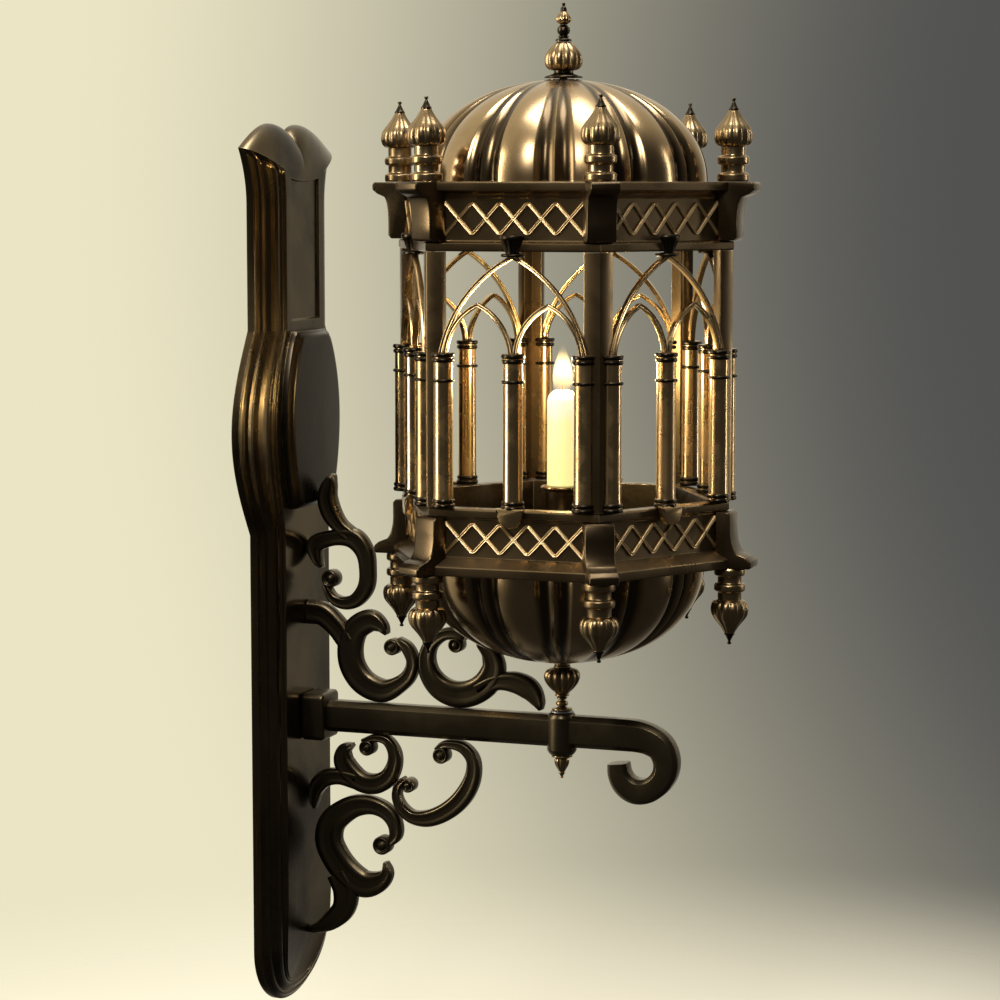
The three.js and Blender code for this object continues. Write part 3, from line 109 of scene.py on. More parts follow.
def bands(rings, closed=False):
    """The points of a run of rings, which have as many points each, and the faces between them."""
    n, m = len(rings[0]), len(rings)
    faces = []
    for i in range(m if closed else m - 1):
        a, b = i * n, ((i + 1) % m) * n
        faces += [[a + k, a + (k + 1) % n, b + (k + 1) % n, b + k] for k in range(n)]
    return np.vstack(rings), faces


def skin(rings, closed=False):
    """A surface over a run of rings. It joins up with itself or gets ends."""
    rings = [np.asarray(ring, float) for ring in rings]
    n, m = len(rings[0]), len(rings)
    points, faces = bands(rings, closed)
    if not closed:
        tips = np.array([rings[0].mean(0), rings[-1].mean(0)])
        foot, head = len(points), len(points) + 1
        points = np.vstack([points, tips])
        last = (m - 1) * n
        faces += [[(k + 1) % n, k, foot] for k in range(n)]
        faces += [[last + k, last + (k + 1) % n, head] for k in range(n)]
    return points, faces


def capped(rings):
    """A surface over a run of rings, with one flat face over the first and one over the last."""
    points, faces = bands(rings)
    count = len(rings[0])
    faces.append(list(range(count))[::-1])
    faces.append([len(points) - count + k for k in range(count)])
    return points, faces


def turns_of(count):
    return np.arange(count) * 2 * math.pi / count


def ring_at(turns, radius, z):
    """A ring of points about Z at one height. The first one lies towards -Y."""
    return np.column_stack([radius * np.sin(turns), -radius * np.cos(turns), np.full(len(turns), z)])


def lathe(profile, segments=48, draw=None):
    """Turns [radius, height] pairs about Z. A profile that ends where it starts makes a ring."""
    closed = np.allclose(profile[0], profile[-1])
    turns = turns_of(segments)
    rings = []
    for r, z in (profile[:-1] if closed else profile):
        rings.append(ring_at(turns, r * draw(turns, r, z) if draw else float(r), z))
    return skin(rings, closed)


def raised(profile, foot):
    return [(r, z + foot) for r, z in profile]


def hoop(inner, outer, low, high):
    """The closed profile of a plain ring."""
    return [(inner, low), (outer, low), (outer, high), (inner, high), (inner, low)]


def rounded(line, radius, steps=4, closed=False):
    """A line of 2D points with an arc at each corner. One radius, or one for each point."""
    points = [np.array(p[:2], float) for p in line]
    count = len(points)
    radii = radius if isinstance(radius, (list, tuple)) else [radius] * count
    out = []
    for i, here in enumerate(points):
        if (not closed and i in (0, count - 1)) or radii[i] <= 0:
            out.append(here)
            continue
        before, after = points[i - 1] - here, points[(i + 1) % count] - here
        a, b = np.linalg.norm(before), np.linalg.norm(after)
        before, after = before / a, after / b
        half = math.acos(max(-1.0, min(1.0, float(before @ after)))) / 2
        if half > math.pi / 2 - 0.02 or half < 0.02:
            out.append(here)
            continue
        reach = min(radii[i] / math.tan(half), 0.45 * a, 0.45 * b)
        arc = reach * math.tan(half)
        middle = (before + after) / np.linalg.norm(before + after)
        centre = here + middle * arc / math.sin(half)
        start, end = here + before * reach - centre, here + after * reach - centre
        sweep = math.atan2(start[0] * end[1] - start[1] * end[0], float(start @ end))
        for k in range(steps + 1):
            turn = sweep * k / steps
            c, s = math.cos(turn), math.sin(turn)
            out.append(centre + np.array([c * start[0] - s * start[1], s * start[0] + c * start[1]]))
    return [tuple(p) for p in out]


def smooth_line(points, steps=6):
    """A smooth line through points of any size, with the knots spaced by their distance."""
    points = np.array(points, float)
    ends = np.vstack([2 * points[0] - points[1], points, 2 * points[-1] - points[-2]])
    gaps = np.sqrt(np.linalg.norm(np.diff(ends, axis=0), axis=1))
    knots = np.concatenate([[0], np.cumsum(np.maximum(gaps, 1e-6))])
    line = []
    for i in range(1, len(ends) - 2):
        t0, t1, t2, t3 = knots[i - 1:i + 3]
        p0, p1, p2, p3 = ends[i - 1:i + 3]
        for t in np.linspace(t1, t2, steps, endpoint=False):
            a1 = (t1 - t) / (t1 - t0) * p0 + (t - t0) / (t1 - t0) * p1
            a2 = (t2 - t) / (t2 - t1) * p1 + (t - t1) / (t2 - t1) * p2
            a3 = (t3 - t) / (t3 - t2) * p2 + (t - t2) / (t3 - t2) * p3
            b1 = (t2 - t) / (t2 - t0) * a1 + (t - t0) / (t2 - t0) * a2
            b2 = (t3 - t) / (t3 - t1) * a2 + (t - t1) / (t3 - t1) * a3
            line.append((t2 - t) / (t2 - t1) * b1 + (t - t1) / (t2 - t1) * b2)
    return np.array(line + [points[-1]])


def strip(line, section, sizes=None):
    """Draws a closed [across, out] section along a flat line. The result lies in (along, up, out)."""
    line = np.array(line, float)[:, :2]
    along = np.gradient(line, axis=0)
    along /= np.linalg.norm(along, axis=1)[:, None]
    across = np.column_stack([-along[:, 1], along[:, 0]])
    section = np.array(section, float)
    rings = []
    for i, (here, side) in enumerate(zip(line, across)):
        wide, deep = (1, 1) if sizes is None else sizes[i]
        flat = here + np.outer(section[:, 0] * wide, side)
        rings.append(np.column_stack([flat, section[:, 1] * deep]))
    return skin(rings)


def slab(outline, low, high, round_edge=0.0, steps=3):
    """A flat outline between two levels, with both rims rounded. It lies in (along, up, out)."""
    outline = np.array(outline, float)
    before, after = np.roll(outline, 1, 0), np.roll(outline, -1, 0)
    along = after - before
    along /= np.linalg.norm(along, axis=1)[:, None]
    area = np.sum(outline[:, 0] * after[:, 1] - after[:, 0] * outline[:, 1])
    inward = np.column_stack([-along[:, 1], along[:, 0]]) * (1 if area > 0 else -1)
    turns = [math.pi / 2 * i / steps for i in range(steps + 1)] if round_edge else [math.pi / 2]
    rims = [(round_edge * (1 - math.sin(t)), round_edge * (1 - math.cos(t))) for t in turns]
    levels = [(inset, low + rise) for inset, rise in rims]
    levels += [(inset, high - rise) for inset, rise in reversed(rims)]
    if not round_edge:
        levels = [(0, low), (0, high)]
    return capped([np.column_stack([outline + inward * inset, np.full(len(outline), level)])
                   for inset, level in levels])


def on_side(shape, out=0.0):
    """From (along, up, out) to a side of the lantern that faces -Y."""
    points = shape[0]
    return np.column_stack([points[:, 0], -points[:, 2] - out, points[:, 1]]), shape[1]


def in_arm_plane(shape):
    """From (distance from the wall, up, across) to the plane of the arm."""
    points = shape[0]
    return np.column_stack([points[:, 2], -points[:, 0], points[:, 1]]), shape[1]


def new_object(name, data):
    thing = bpy.data.objects.new(name, data)
    bpy.context.scene.collection.objects.link(thing)
    return thing


def piece(name, shape, material, body, slot, *nodes, place=(0, 0, 0), turn=0.0, sharp=40, mesh=None):
    """A finished object made from a shape in millimetres. It replaces the nodes that it stands for."""
    if mesh is None:
        mesh = bpy.data.meshes.new(name)
        points, faces = shape
        mesh.from_pydata((points * MM).tolist(), [], faces)
        work = bmesh.new()
        work.from_mesh(mesh)
        bmesh.ops.remove_doubles(work, verts=work.verts, dist=0.01 * MM)
        bmesh.ops.recalc_face_normals(work, faces=work.faces)
        work.to_mesh(mesh)
        work.free()
        mesh.materials.append(material)
        mesh.shade_smooth()
        mesh.set_sharp_from_angle(angle=math.radians(sharp))
    thing = new_object(name, mesh)
    thing.location = Vector(place) * MM
    thing.rotation_euler = (0, 0, math.radians(turn))
    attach(thing, body)
    if nodes:
        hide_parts(*nodes)
    return thing


def on_axis(name, shape, material, body, slot, *nodes, **options):
    return piece(name, shape, material, body, slot, *nodes, place=(0, -REACH, 0), **options)


def six(name, shape, material, slot, node, start=0.0, **options):
    """Six copies round the lantern that share one mesh."""
    first = on_axis(f"{name}_1", shape, material, "lantern", slot, f"{node}_1", turn=start, **options)
    for i in range(1, 6):
        on_axis(f"{name}_{i + 1}", None, material, "lantern", slot, f"{node}_{i + 1}",
                turn=start + 60 * i, mesh=first.data)


# Materials. Groups hold what several finishes share and put out only values that vary.

def give(node, **values):
    for key, value in values.items():
        node.inputs[key.replace("_", " ")].default_value = value


class Nodes:
    """Short calls for adding and linking shader nodes in one tree."""

    def __init__(self, tree):
        self.tree = tree
        self.column = 0

    def add(self, kind, **settings):
        node = self.tree.nodes.new(kind)
        node.location = (self.column * 180, 0)
        self.column += 1
        for key, value in settings.items():
            setattr(node, key, value)
        return node

    def link(self, start, end):
        self.tree.links.new(start, end)

    def put(self, value, target):
        if isinstance(value, (int, float, tuple)):
            target.default_value = value
        else:
            self.link(value, target)

    def math(self, operation, a, b=None, clamp=False):
        node = self.add("ShaderNodeMath", operation=operation, use_clamp=clamp)
        self.put(a, node.inputs[0])
        if b is not None:
            self.put(b, node.inputs[1])
        return node.outputs[0]

    def between(self, value, low, high, start=0.0, end=1.0):
        node = self.add("ShaderNodeMapRange", interpolation_type="SMOOTHSTEP")
        self.put(value, node.inputs["Value"])
        self.put(low, node.inputs["From Min"])
        self.put(high, node.inputs["From Max"])
        self.put(start, node.inputs["To Min"])
        self.put(end, node.inputs["To Max"])
        return node.outputs["Result"]

    def mix(self, share, a, b):
        node = self.add("ShaderNodeMix", data_type="RGBA")
        self.put(share, node.inputs[0])
        self.put(a, node.inputs[6])
        self.put(b, node.inputs[7])
        return node.outputs[2]

    def noise(self, where, scale, detail=4.0, roughness=0.55, distortion=0.0):
        node = self.add("ShaderNodeTexNoise")
        self.link(where, node.inputs["Vector"])
        self.put(scale, node.inputs["Scale"])
        give(node, Detail=detail, Roughness=roughness, Distortion=distortion)
        return node.outputs["Fac"]

    def vector(self, operation, a, b):
        """Vector arithmetic. A dot product is a number, the rest are vectors."""
        node = self.add("ShaderNodeVectorMath", operation=operation)
        self.put(a, node.inputs[0])
        self.put(b, node.inputs[1])
        return node.outputs["Value" if operation == "DOT_PRODUCT" else "Vector"]

    def place(self):
        """Where a point lies in its object."""
        return self.add("ShaderNodeTexCoord").outputs["Object"]

    def part(self, vector, axis):
        node = self.add("ShaderNodeSeparateXYZ")
        self.link(vector, node.inputs[0])
        return node.outputs[axis]

    def relief(self, surface, height, strength, distance):
        """Raises a surface in its shading alone."""
        node = self.add("ShaderNodeBump")
        give(node, Strength=strength, Distance=distance)
        self.link(height, node.inputs["Height"])
        self.link(node.outputs[0], surface.inputs["Normal"])


def chance_place(n, stretch=(1, 1, 1)):
    """Where a point lies in its object, moved by a chance step so that copies differ."""
    step = n.add("ShaderNodeCombineXYZ")
    n.link(n.add("ShaderNodeObjectInfo").outputs["Random"], step.inputs["Z"])
    return n.vector("MULTIPLY", n.vector("ADD", n.place(), step.outputs[0]), stretch)


def new_group(name, settings, results):
    """A shader group of plain numbers: its tree, a way to add nodes, its inputs and its outputs."""
    group = bpy.data.node_groups.new(name, "ShaderNodeTree")
    for key, value in settings.items():
        made = group.interface.new_socket(name=key, in_out="INPUT", socket_type="NodeSocketFloat")
        made.default_value = value
    for key in results:
        group.interface.new_socket(name=key, in_out="OUTPUT", socket_type="NodeSocketFloat")
    n = Nodes(group)
    return group, n, n.add("NodeGroupInput").outputs, n.add("NodeGroupOutput").inputs


# The lobes of dome and bowl, which both their shape and the shade painted into their flutes follow
LOBES = 12
LOBE_START = 0.25        # share of a lobe's turn, from the edge between two lobes
EDGE_SHARE = 0.3         # depth of that edge as a share of the flutes' depth


def crevice_group():
    """Painted shade in the hollows, found by ambient occlusion, and a painted highlight along the crests;
    both also stand for dark lacquer left in the hollows and rubbed off the crests.
    """
    settings = {"Reach": 0.006, "Start": 0.35, "Full": 0.85}
    group, n, given, result = new_group("Painted crevice shade and crest highlight", settings, ("Hollow shade", "Crest highlight"))
    # Painted shade: ambient occlusion darkens the hollows.
    shade = n.add("ShaderNodeAmbientOcclusion", samples=8, only_local=True)
    n.link(given["Reach"], shade.inputs["Distance"])
    closed = n.math("SUBTRACT", 1.0, shade.outputs["AO"])
    break_up = n.noise(chance_place(n), 140.0, 5.0, 0.6)
    closed = n.math("ADD", closed, n.math("MULTIPLY", n.math("SUBTRACT", break_up, 0.5), 0.5))
    n.link(n.between(closed, given["Start"], given["Full"]), result["Hollow shade"])
    # Painted highlight along the crests, where the lacquer also rubs off.
    edge = n.add("ShaderNodeBevel", samples=6)
    give(edge, Radius=0.0011)
    flat = n.add("ShaderNodeNewGeometry").outputs["Normal"]
    rubbed_edge_highlight = n.math("SUBTRACT", 1.0, n.vector("DOT_PRODUCT", edge.outputs[0], flat))
    rubbed_edge_highlight = n.math("MULTIPLY", n.between(rubbed_edge_highlight, 0.01, 0.14), n.between(break_up, 0.25, 0.6))
    open_part = n.math("SUBTRACT", 1.0, n.between(closed, 0.2, 0.5))
    n.link(n.math("MULTIPLY", rubbed_edge_highlight, open_part), result["Crest highlight"])
    return group


def patina_group():
    """Clouds of tarnish, small pits and stains, and a fine polish grain."""
    settings = {"Clouds": 18.0, "Pits": 420.0, "Pit share": 0.3}
    group, n, given, result = new_group("Aged metal", settings, ("Cloud", "Spots", "Grain"))
    where = chance_place(n)
    cloud = n.noise(where, given["Clouds"], 6.0, 0.62, 0.4)
    n.link(n.between(cloud, 0.32, 0.7), result["Cloud"])
    pits = n.noise(where, given["Pits"], 3.0, 0.6, 0.2)
    level = n.math("SUBTRACT", 0.78, n.math("MULTIPLY", given["Pit share"], 0.3))
    fuller = n.math("ADD", level, 0.1)
    thin = n.math("SUBTRACT", pits, n.math("MULTIPLY", n.math("SUBTRACT", 0.55, cloud), 0.3))
    n.link(n.between(thin, level, fuller), result["Spots"])
    n.link(n.noise(where, 900.0, 2.0, 0.7), result["Grain"])
    return group


def scratch_group():
    """Long fine scratches, a wave of narrow lines that come and go."""
    group, n, given, result = new_group("Fine scratches", {"Scale": 60.0}, ("Lines",))
    where = chance_place(n, (1, 1, 0.035))
    lines = n.noise(where, n.math("MULTIPLY", given["Scale"], 6.0), 3.0, 0.7, 0.3)
    patch = n.noise(chance_place(n), 14.0, 3.0, 0.5)
    fine = n.math("MULTIPLY", n.between(lines, 0.56, 0.66), n.between(patch, 0.46, 0.62))
    n.link(fine, result["Lines"])
    return group


def flute_group():
    """Painted shade in the hollow flutes of the lobed shells, found by the turn around the lantern's axis.
    """
    group, n, given, result = new_group("Painted flute shade", {"Lobes": float(LOBES)}, ("Flute shade",))
    place = n.place()
    turn = n.math("ARCTAN2", n.part(place, "X"), n.math("MULTIPLY", n.part(place, "Y"), -1.0))
    lobe = n.math("FRACT", n.math("MULTIPLY", n.math("DIVIDE", turn, 2 * math.pi), given["Lobes"]))
    from_edge = n.math("ABSOLUTE", n.math("SUBTRACT", lobe, 0.5))
    from_flute = n.math("ABSOLUTE", n.math("SUBTRACT", from_edge, LOBE_START / 2))
    n.link(n.between(from_flute, LOBE_START * 0.14, LOBE_START * 0.62, 1.0, 0.0), result["Flute shade"])
    return group


CREVICE_SHADE_AND_HIGHLIGHT = crevice_group()
PATINA = patina_group()
SCRATCHES = scratch_group()
FLUTE_SHADE = flute_group()


def new_material(name):
    material = bpy.data.materials.new(name)
    material.use_nodes = True
    nodes = Nodes(material.node_tree)
    return material, nodes, material.node_tree.nodes["Principled BSDF"]


def placed(nodes, group, **values):
    node = nodes.add("ShaderNodeGroup", node_tree=group)
    give(node, **values)
    return node


def aged_metal(name, bright, dull, dark, rough=(0.24, 0.42), reach=0.006, hollow=(0.3, 0.8), clouds=16.0,
               pits=420.0, pit_share=0.3, bump=0.06, crest=0.6, glow=(1.0, 0.86, 0.6), scratches=0.0,
               fluted=0.0):
    """Cast or turned brass: a polished colour, a duller one in clouds, dark pits, painted shade in the
    hollows and flutes, and a painted highlight on the crests.
    """
    material, n, surface = new_material(name)
    # Painted shade in the hollows and a painted highlight on the crests; hollow sets where that shade
    # starts and is full.
    crease_shade_and_highlight = placed(n, CREVICE_SHADE_AND_HIGHLIGHT, Reach=reach, Start=hollow[0], Full=hollow[1])
    age = placed(n, PATINA, Clouds=clouds, Pits=pits, Pit_share=pit_share)
    colour = n.mix(age.outputs["Cloud"], (*bright, 1), (*dull, 1))
    colour = n.mix(n.math("MULTIPLY", age.outputs["Spots"], 0.75), colour, (*dark, 1))
    if scratches:
        lines = placed(n, SCRATCHES, Scale=60.0).outputs["Lines"]
        colour = n.mix(n.math("MULTIPLY", lines, scratches), colour, (*bright, 1))
    # Painted shade in the flutes, in the dark colour.
    if fluted:
        flute = placed(n, FLUTE_SHADE).outputs["Flute shade"]
        colour = n.mix(n.math("MULTIPLY", flute, fluted), colour, (*dark, 1))
    # Painted shade in the hollows, then a painted highlight in the glow colour on the crests.
    colour = n.mix(crease_shade_and_highlight.outputs["Hollow shade"], colour, (*dark, 1))
    colour = n.mix(n.math("MULTIPLY", crease_shade_and_highlight.outputs["Crest highlight"], crest), colour, (*glow, 1))
    n.link(colour, surface.inputs["Base Color"])
    give(surface, Metallic=1.0)
    shine = n.between(age.outputs["Cloud"], 0.0, 1.0, rough[0], rough[1])
    shine = n.math("ADD", shine, n.math("MULTIPLY", crease_shade_and_highlight.outputs["Hollow shade"], 0.2))
    shine = n.math("ADD", shine, n.math("MULTIPLY", age.outputs["Spots"], 0.18), clamp=True)
    n.link(shine, surface.inputs["Roughness"])
    height = n.math("SUBTRACT", n.math("MULTIPLY", age.outputs["Grain"], 0.25), age.outputs["Spots"])
    height = n.math("ADD", height, n.math("MULTIPLY", age.outputs["Cloud"], 0.8))
    n.relief(surface, height, bump, 0.0006)
    return material


# Each finish's third colour is that of its pits and of the shade painted in its hollows and flutes; glow is
# the colour of its painted crest highlight.
BRASS_PIT_AND_SHADE = (0.035, 0.022, 0.011)

lobed_brass = aged_metal("lobed brass", (0.42, 0.30, 0.165), (0.26, 0.18, 0.096), (0.024, 0.016, 0.009),
                         rough=(0.2, 0.31), reach=0.013, hollow=(0.3, 0.7), clouds=9.0, pit_share=0.16,
                         glow=(0.95, 0.74, 0.44), fluted=0.88)
turned_brass = aged_metal("turned brass", (0.33, 0.235, 0.125), (0.20, 0.14, 0.073), BRASS_PIT_AND_SHADE,
                          rough=(0.24, 0.36), reach=0.006, hollow=(0.26, 0.66), clouds=26.0, pit_share=0.2,
                          glow=(0.98, 0.76, 0.42))
rail_brass = aged_metal("rail brass", (0.21, 0.146, 0.076), (0.115, 0.082, 0.046), (0.014, 0.01, 0.006),
                        rough=(0.24, 0.4), reach=0.007, clouds=12.0, crest=0.8, glow=(0.85, 0.62, 0.33))
wire_brass = aged_metal("lattice wire brass", (0.80, 0.58, 0.30), (0.56, 0.39, 0.19), BRASS_PIT_AND_SHADE,
                        rough=(0.3, 0.42), reach=0.0012, hollow=(0.5, 0.95), clouds=60.0)
column_brass = aged_metal("speckled column brass", (0.60, 0.43, 0.22), (0.42, 0.29, 0.145),
                          (0.03, 0.02, 0.011), rough=(0.18, 0.36), reach=0.006, hollow=(0.26, 0.7),
                          clouds=30.0, pits=620.0, pit_share=0.5, bump=0.08, glow=(1.0, 0.8, 0.47))
corner_bronze = aged_metal("corner bronze", (0.125, 0.088, 0.048), (0.072, 0.052, 0.031),
                           (0.012, 0.009, 0.006), rough=(0.24, 0.38), reach=0.007, crest=0.85,
                           glow=(0.72, 0.54, 0.31))
bracket_bronze = aged_metal("bracket bronze", (0.12, 0.094, 0.056), (0.066, 0.054, 0.034),
                            (0.01, 0.008, 0.006), rough=(0.27, 0.42), reach=0.007, crest=0.4,
                            glow=(0.26, 0.21, 0.13))
plate_bronze = aged_metal("plate bronze", (0.17, 0.125, 0.066), (0.026, 0.020, 0.013),
                          (0.008, 0.006, 0.004), rough=(0.16, 0.34), reach=0.009, hollow=(0.3, 0.75),
                          clouds=7.0, crest=0.7, glow=(0.62, 0.46, 0.25), scratches=0.5)
shield_bronze = aged_metal("shield bronze", (0.052, 0.04, 0.026), (0.034, 0.028, 0.02),
                           (0.008, 0.006, 0.004), rough=(0.2, 0.36), reach=0.008, clouds=8.0, crest=0.9,
                           glow=(0.75, 0.56, 0.3), scratches=0.35)
tray_brass = aged_metal("mottled tray brass", (0.06, 0.044, 0.024), (0.02, 0.015, 0.009),
                        (0.016, 0.011, 0.007), rough=(0.3, 0.55), clouds=60.0, pits=300.0, pit_share=0.6,
                        bump=0.15)
black_tip = aged_metal("blackened tips", (0.05, 0.038, 0.025), (0.026, 0.02, 0.014), (0.01, 0.008, 0.006),
                       rough=(0.22, 0.36), crest=0.5, glow=(0.35, 0.27, 0.16))
steel = aged_metal("turned steel", (0.55, 0.55, 0.54), (0.42, 0.42, 0.41), (0.08, 0.08, 0.08),
                   rough=(0.25, 0.4), crest=0.3, glow=(0.8, 0.8, 0.8))


def wax_material():
    """Cream wax, paler towards the flame as painted light from it and yellower at its foot, with a painted
    glow that is brightest near the flame.
    """
    material, n, surface = new_material("candle wax")
    where = n.place()
    up = n.between(n.part(where, "Z"), CANDLE_FOOT * MM, CANDLE_TIP * MM)
    cloud = n.noise(where, 60.0, 4.0, 0.6)
    # Paler towards the top: painted light from the flame.
    body = n.mix(up, (0.86, 0.76, 0.36, 1), (0.97, 0.92, 0.66, 1))
    body = n.mix(n.math("MULTIPLY", n.between(cloud, 0.4, 0.75), 0.25), body, (0.99, 0.95, 0.8, 1))
    n.link(body, surface.inputs["Base Color"])
    # The emission is a painted glow on the wax.
    give(surface, Roughness=0.42, Subsurface_Weight=0.35, Subsurface_Radius=(0.012, 0.007, 0.003),
         Subsurface_Scale=1.0, Emission_Strength=0.65)
    # The painted glow is brighter near the flame.
    glow = n.mix(n.between(up, 0.6, 0.95), (0.95, 0.88, 0.34, 1), (1.0, 0.97, 0.8, 1))
    n.link(glow, surface.inputs["Emission Color"])
    n.relief(surface, cloud, 0.15, 0.0005)
    return material


def wick_material():
    material, n, surface = new_material("burnt wick")
    char = n.noise(n.place(), 900.0, 4.0, 0.7)
    n.link(n.mix(n.between(char, 0.4, 0.65), (0.02, 0.015, 0.012, 1), (0.16, 0.09, 0.04, 1)),
           surface.inputs["Base Color"])
    give(surface, Roughness=0.9)
    return material


def flame_material(foot, tip):
    """A pale flame, thin at its rim and clearer towards its foot."""
    material, n, surface = new_material("candle flame")
    where = n.place()
    up = n.between(n.part(where, "Z"), foot * MM, tip * MM)
    give(surface, Base_Color=(0.12, 0.1, 0.06, 1), Emission_Strength=0.5, Roughness=1.0)
    n.link(n.mix(up, (1.0, 0.95, 0.72, 1), (1.0, 0.92, 0.66, 1)), surface.inputs["Emission Color"])
    rim = n.add("ShaderNodeLayerWeight")
    give(rim, Blend=0.35)
    heart = n.math("SUBTRACT", 1.0, rim.outputs["Facing"])
    body = n.math("MULTIPLY", n.between(up, -0.1, 0.2), n.between(up, 1.05, 0.6))
    flicker = n.between(n.noise(where, 120.0, 2.0), 0.2, 0.8, 0.8, 1.0)
    alpha = n.math("MULTIPLY", n.math("MULTIPLY", heart, body), n.math("MULTIPLY", flicker, 0.34))
    n.link(alpha, surface.inputs["Alpha"])
    return material


# Wall plate. An outline on the wall and one on the front face run side by side, and the moulding is
# drawn between them. The crest is two soft pillows, and the foot rolls back towards the wall.
LOWER_HALF, UPPER_HALF, BULGE_HALF, SHOULDER_HALF = 64.5, 65.5, 96.0, 79.5
FACE_LOWER, FACE_UPPER, FACE_BULGE, FACE_SHOULDER = 41.0, 34.0, 55.0, 36.0
BULGE_FOOT, BULGE_HEAD = 147.0, 303.0
CREST, SHOULDER_DROP, SHOULDER_FLARE, LOBE_RISE = 451.0, 11.0, 42.0, 9.5
FOOT_ROUND, FACE_FOOT_ROUND, FACE_MARGIN, FOOT_DEPTH = 50.0, 66.0, 17.0, 9.75
FOOT_STEPS = 30
HEAD_DIP = 2.5           # of the face's head and of the panel's, below their ends


def lerp(a, b, t):
    return a + (b - a) * t


def plate_stations():
    """Half width and height on the wall, then on the face, the depth and the share of pillow."""
    stations = []
    for t in np.linspace(0, math.pi / 2, FOOT_STEPS + 1):
        wide, drop = math.sin(t), 1 - math.cos(t)
        stations.append((LOWER_HALF * wide, PLATE_BOTTOM + FOOT_ROUND * drop, FACE_LOWER * wide ** 0.7,
                         PLATE_BOTTOM + FACE_MARGIN + FACE_FOOT_ROUND * drop,
                         lerp(FOOT_DEPTH, PLATE_DEPTH, wide ** 2), 0.0))
    for t in np.linspace(0, 1, 12, endpoint=False)[1:]:
        stations.append((LOWER_HALF, lerp(PLATE_BOTTOM + FOOT_ROUND, BULGE_FOOT, t), FACE_LOWER,
                         lerp(PLATE_BOTTOM + FACE_MARGIN + FACE_FOOT_ROUND, BULGE_FOOT, t), PLATE_DEPTH,
                         0.0))
    for t in np.linspace(0, 1, 49):
        up, swell = lerp(BULGE_FOOT, BULGE_HEAD, t), math.sin(math.pi * t)
        wall, face = lerp(LOWER_HALF, UPPER_HALF, t), lerp(FACE_LOWER, FACE_UPPER, t)
        stations.append((lerp(wall, BULGE_HALF, swell), up, lerp(face, FACE_BULGE, swell), up,
                         PLATE_DEPTH, 0.0))
    shoulder = CREST - SHOULDER_DROP
    for t in np.linspace(0, 1, 16, endpoint=False):
        up = shoulder - SHOULDER_FLARE * (1 - t)
        stations.append((lerp(UPPER_HALF, SHOULDER_HALF, t * t), up, lerp(FACE_UPPER, FACE_SHOULDER, t * t),
                         up - FACE_MARGIN * t, PLATE_DEPTH, max(0.0, 8 * t - 7)))
    level = shoulder - FACE_MARGIN
    for across in np.linspace(1, 0, 48):
        lobe = math.sin(math.pi * across ** 0.75)
        up = CREST - SHOULDER_DROP * across ** 2 + LOBE_RISE * lobe
        stations.append((SHOULDER_HALF * across, up, FACE_SHOULDER * across,
                         level - HEAD_DIP * (1 - across ** 2), PLATE_DEPTH, 1.0))
    return stations


# Share of the way from the wall outline to the face outline, and share of the depth
PLATE_MOULDING = rounded([
    (0.0, 0.0), (0.0, 0.3), (0.05, 0.32), (0.09, 0.35), (0.15, 0.42), (0.19, 0.51), (0.27, 0.57),
    (0.34, 0.56), (0.37, 0.52), (0.39, 0.56), (0.46, 0.68), (0.56, 0.78), (0.67, 0.84), (0.75, 0.85),
    (0.77, 0.81), (0.8, 0.82), (0.83, 0.9), (0.87, 0.93), (0.9, 0.91), (0.92, 0.92), (0.94, 1.0),
    (1.0, 1.0),
], 0.022, 3)
PANEL_HALF, PANEL_FOOT, PANEL_HEAD, PANEL_SINK = 27.0, 309.0, 418.0, 2.0
SHIELD_FOOT_HALF, SHIELD_HEAD_HALF, SHIELD_HALF = 33.0, 27.5, 48.5
HOLLOW_HALF, HOLLOW_DEPTH = 36.0, 12.0
HOLLOWS = ((-160.0, -20.0), (20.0, 415.0))


def filled(outline, holes, depth):
    """A flat face at a depth from the wall, with openings in it."""
    rings = [[Vector((x, z, 0)) for x, z in ring] for ring in [outline, *holes]]
    points = [(p.x, -depth, p.y) for ring in rings for p in ring]
    return np.array(points), [list(corner) for corner in tessellate_polygon(rings)]


def sunk(outline, depths, inset=0.0):
    """The walls and the floor of a pocket between two depths."""
    outline = np.array(outline, float)
    middle = (outline.min(0) + outline.max(0)) / 2
    floor = middle + (outline - middle) * (1 - inset / np.abs(outline - middle).max())
    points = [(x, -depths[0], z) for x, z in outline] + [(x, -depths[1], z) for x, z in floor]
    n = len(outline)
    faces = [[k, (k + 1) % n, n + (k + 1) % n, n + k] for k in range(n)]
    return np.array(points), faces + [[n + k for k in range(n)]]


def plate_panel():
    """The outline of the sunk panel above the shield; its head dips at the middle."""
    across = np.linspace(PANEL_HALF, -PANEL_HALF, 13)
    head = [(x, PANEL_HEAD - HEAD_DIP * (1 - (x / PANEL_HALF) ** 2)) for x in across]
    return [(-PANEL_HALF, PANEL_FOOT), (PANEL_HALF, PANEL_FOOT), *head]


